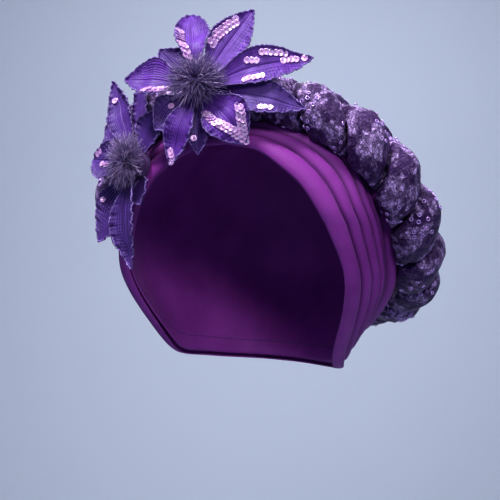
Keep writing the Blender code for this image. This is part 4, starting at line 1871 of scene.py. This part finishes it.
    def tuft(self, bench: Bench) -> None:
        """Makes the fringed centre: threads drawn out of a small head.

        Args:
            bench: what the flower's parts share.
        """
        chance = np.random.default_rng(self.plan.seed)
        count, steps, sides = self.threads, self.thread_steps, self.thread_sides
        seat = self.cut.base_height + self.cut.clearance
        turn = chance.uniform(0, 2 * np.pi, count)
        lean = np.arccos(1 - chance.uniform(0.0, 1.0, count) * 0.99)
        length = self.tuft_radius * chance.uniform(0.80, 1.45, count) * (0.72 + 0.38 * np.sin(lean))
        away = np.stack([np.cos(turn), np.sin(turn), 0 * turn], -1)
        share = np.linspace(0, 1, steps)[None, :, None]
        bend = 0.35 + 0.5 * chance.uniform(0, 1, count)[:, None, None]
        lean_now = np.minimum(lean[:, None, None] + bend * share**1.4, np.radians(self.most_lean))
        direction = np.sin(lean_now) * away[:, None] + np.cos(lean_now) * np.array([0, 0, 1.0])
        swirl = chance.normal(size=(count, 1, 3)) * 0.35 * share + chance.normal(size=(count, 1, 3)) * 0.08
        direction = unit(direction + swirl)
        step = (length / (steps - 1))[:, None, None]
        first = np.sin(lean)[:, None] * away + np.cos(lean)[:, None] * np.array([0, 0, 0.7])
        paths = 0.35 * self.tuft_radius * first[:, None] + np.cumsum(direction * step, axis=1)
        paths[..., 2] = np.maximum(paths[..., 2], 0.0006) + seat
        radii = self.thread_radius * (1.15 - 0.75 * share) * chance.uniform(0.7, 1.5, count)[:, None, None]
        up = np.broadcast_to(unit(chance.normal(size=(count, 1, 3))), paths.shape)
        body, faces = tubes(paths, radii, sides, up)
        tone = np.clip(chance.normal(self.plan.tone, self.tone_spread, count), 0, 0.7)
        tone = np.where(chance.uniform(0, 1, count) < self.pale_share, self.pale_tone, tone)
        tone = (tone[:, None] + np.linspace(0, self.tip_tone, steps)[None])[..., None] * np.ones(sides)
        pile = Pile()
        pile.add(carried(body, bench.place), faces, tone.ravel())
        rise = np.linspace(0, np.pi / 2 * 0.96, self.tuft_rings)
        section = 0.5 * self.tuft_radius * np.stack([np.cos(rise), 0.9 * np.sin(rise)], -1) + [0, seat]
        head = carried(turned(section, self.tuft_sides), bench.place)
        pile.add(head, closed_ends(self.tuft_rings, self.tuft_sides), 0.02)
        pile.piece(f"{self.plan.name}_fringe", bench.finishes.fringe, Slot.FRINGE, f"{self.plan.name}_centre")


MIDDLE = (0.0, 0.0, 0.02)
BACKDROP = (-1.0, 3.4, -0.2)
LAMPS = (
    Lamp("key", (-0.45, -0.95, 1.80), MIDDLE, 0.6, 2.5, 28, (1.0, 0.985, 1.0)),
    Lamp("fill", (0.75, -1.55, 0.95), MIDDLE, 0.6, 0.55, 28, (0.98, 0.97, 1.0)),
    Lamp("top", (-0.25, 0.10, 2.90), MIDDLE, 1.8, 40, 180, (0.96, 0.97, 1.0)),
    Lamp("back", (-0.9, 1.6, 1.0), MIDDLE, 0.6, 0.8, 28, (0.96, 0.97, 1.0)),
    Lamp("backdrop", (-0.50, 1.7, 1.0), BACKDROP, 1.4, 11, 110, (0.97, 0.98, 1.0)),
)


@dataclass(frozen=True)
class Studio:
    """The floor, the soft light and the camera."""

    floor_level: float = -1.10
    floor_radius: float = 3.4
    floor_sides: int = 64
    flat_radius: float = 1.2
    cove_radius: float = 1.4
    wall_top: float = 3.9
    air: Colour = (0.80, 0.86, 1.0)
    air_strength: float = 0.19
    turn: float = 18.0
    roll: float = 4.0
    distance: float = 0.85
    sensor: float = 36.0
    focal: float = 92.376
    aside: float = 0.00861
    above: float = 0.01855

    def build(self) -> None:
        """Makes the studio."""
        self.floor()
        for lamp in LAMPS:
            self.light(lamp)
        world = bpy.data.worlds.new("studio_air")
        world.use_nodes = True
        air = world.node_tree.nodes["Background"]
        air.inputs["Color"].default_value = (*self.air, 1)
        air.inputs["Strength"].default_value = self.air_strength
        bpy.context.scene.world = world
        bpy.context.scene.view_settings.view_transform = "Standard"
        self.camera()

    def floor(self) -> None:
        """Makes a round floor whose edge curves up all round."""
        rise = np.linspace(0, np.pi / 2, 13)
        cove = self.floor_radius - self.cove_radius + self.cove_radius * np.sin(rise)
        out = np.concatenate([[0.02, self.flat_radius], cove, [self.floor_radius]])
        up = np.concatenate([[0, 0], self.cove_radius * (1 - np.cos(rise)), [self.wall_top]])
        quads, ends = closed_ends(len(out), self.floor_sides)
        pile = Pile()
        pile.add(turned(np.stack([out, up + self.floor_level], -1), self.floor_sides), [quads, ends[:1]])
        pile.item("studio_floor", Paper().material())

    def light(self, lamp: Lamp) -> None:
        """Adds a light.

        Args:
            lamp: its plan.
        """
        light = bpy.data.lights.new(lamp.name, "AREA")
        light.shape = "DISK"
        light.size = lamp.size
        light.energy = lamp.power
        light.spread = np.radians(lamp.spread)
        light.color = lamp.colour
        item = bpy.data.objects.new(lamp.name, light)
        item.location = lamp.place
        item.rotation_euler = (Vector(lamp.aim) - Vector(lamp.place)).to_track_quat("-Z", "Y").to_euler()
        bpy.context.scene.collection.objects.link(item)

    def camera(self) -> None:
        """Adds the camera."""
        turn, roll = np.radians(self.turn), np.radians(self.roll)
        back = np.array([np.sin(turn), -np.cos(turn), 0])
        right = np.array([np.cos(turn), np.sin(turn), 0])
        up = np.array([0, 0, 1])
        across = right * np.cos(roll) + up * np.sin(roll)
        raised = up * np.cos(roll) - right * np.sin(roll)
        view = bpy.data.cameras.new("camera")
        view.sensor_width = self.sensor
        view.lens = self.focal
        item = bpy.data.objects.new("camera", view)
        place = Matrix(np.column_stack([across, raised, back])).to_4x4()
        place.translation = back * self.distance - across * self.aside - raised * self.above
        item.matrix_world = place
        bpy.context.scene.collection.objects.link(item)
        bpy.context.scene.camera = item


def main() -> None:
    """Builds the head tie, piece by piece, and the studio round it."""
    logging.basicConfig(level=logging.INFO, format="%(message)s")
    Studio().build()
    finishes = Wardrobe.open()
    head, cloths = HeadForm(), Cloths()
    Crown(head, cloths).build(finishes)
    PleatedFront(head, cloths).build(finishes)
    Plait(head, cloths).build(finishes)
    panels = [f"pleat_panel_{side}" for side in ("left", "right")]
    cloth = node_tree(["cap", *panels, *(f"braid_strand_{number}" for number in (1, 2, 3))])
    laid: list[str] = []
    for plan in FLOWERS:
        Flower(plan, head, cloths).build(finishes, cloth, laid)
    bpy.context.view_layer.update()


if __name__ == "__main__":
    main()
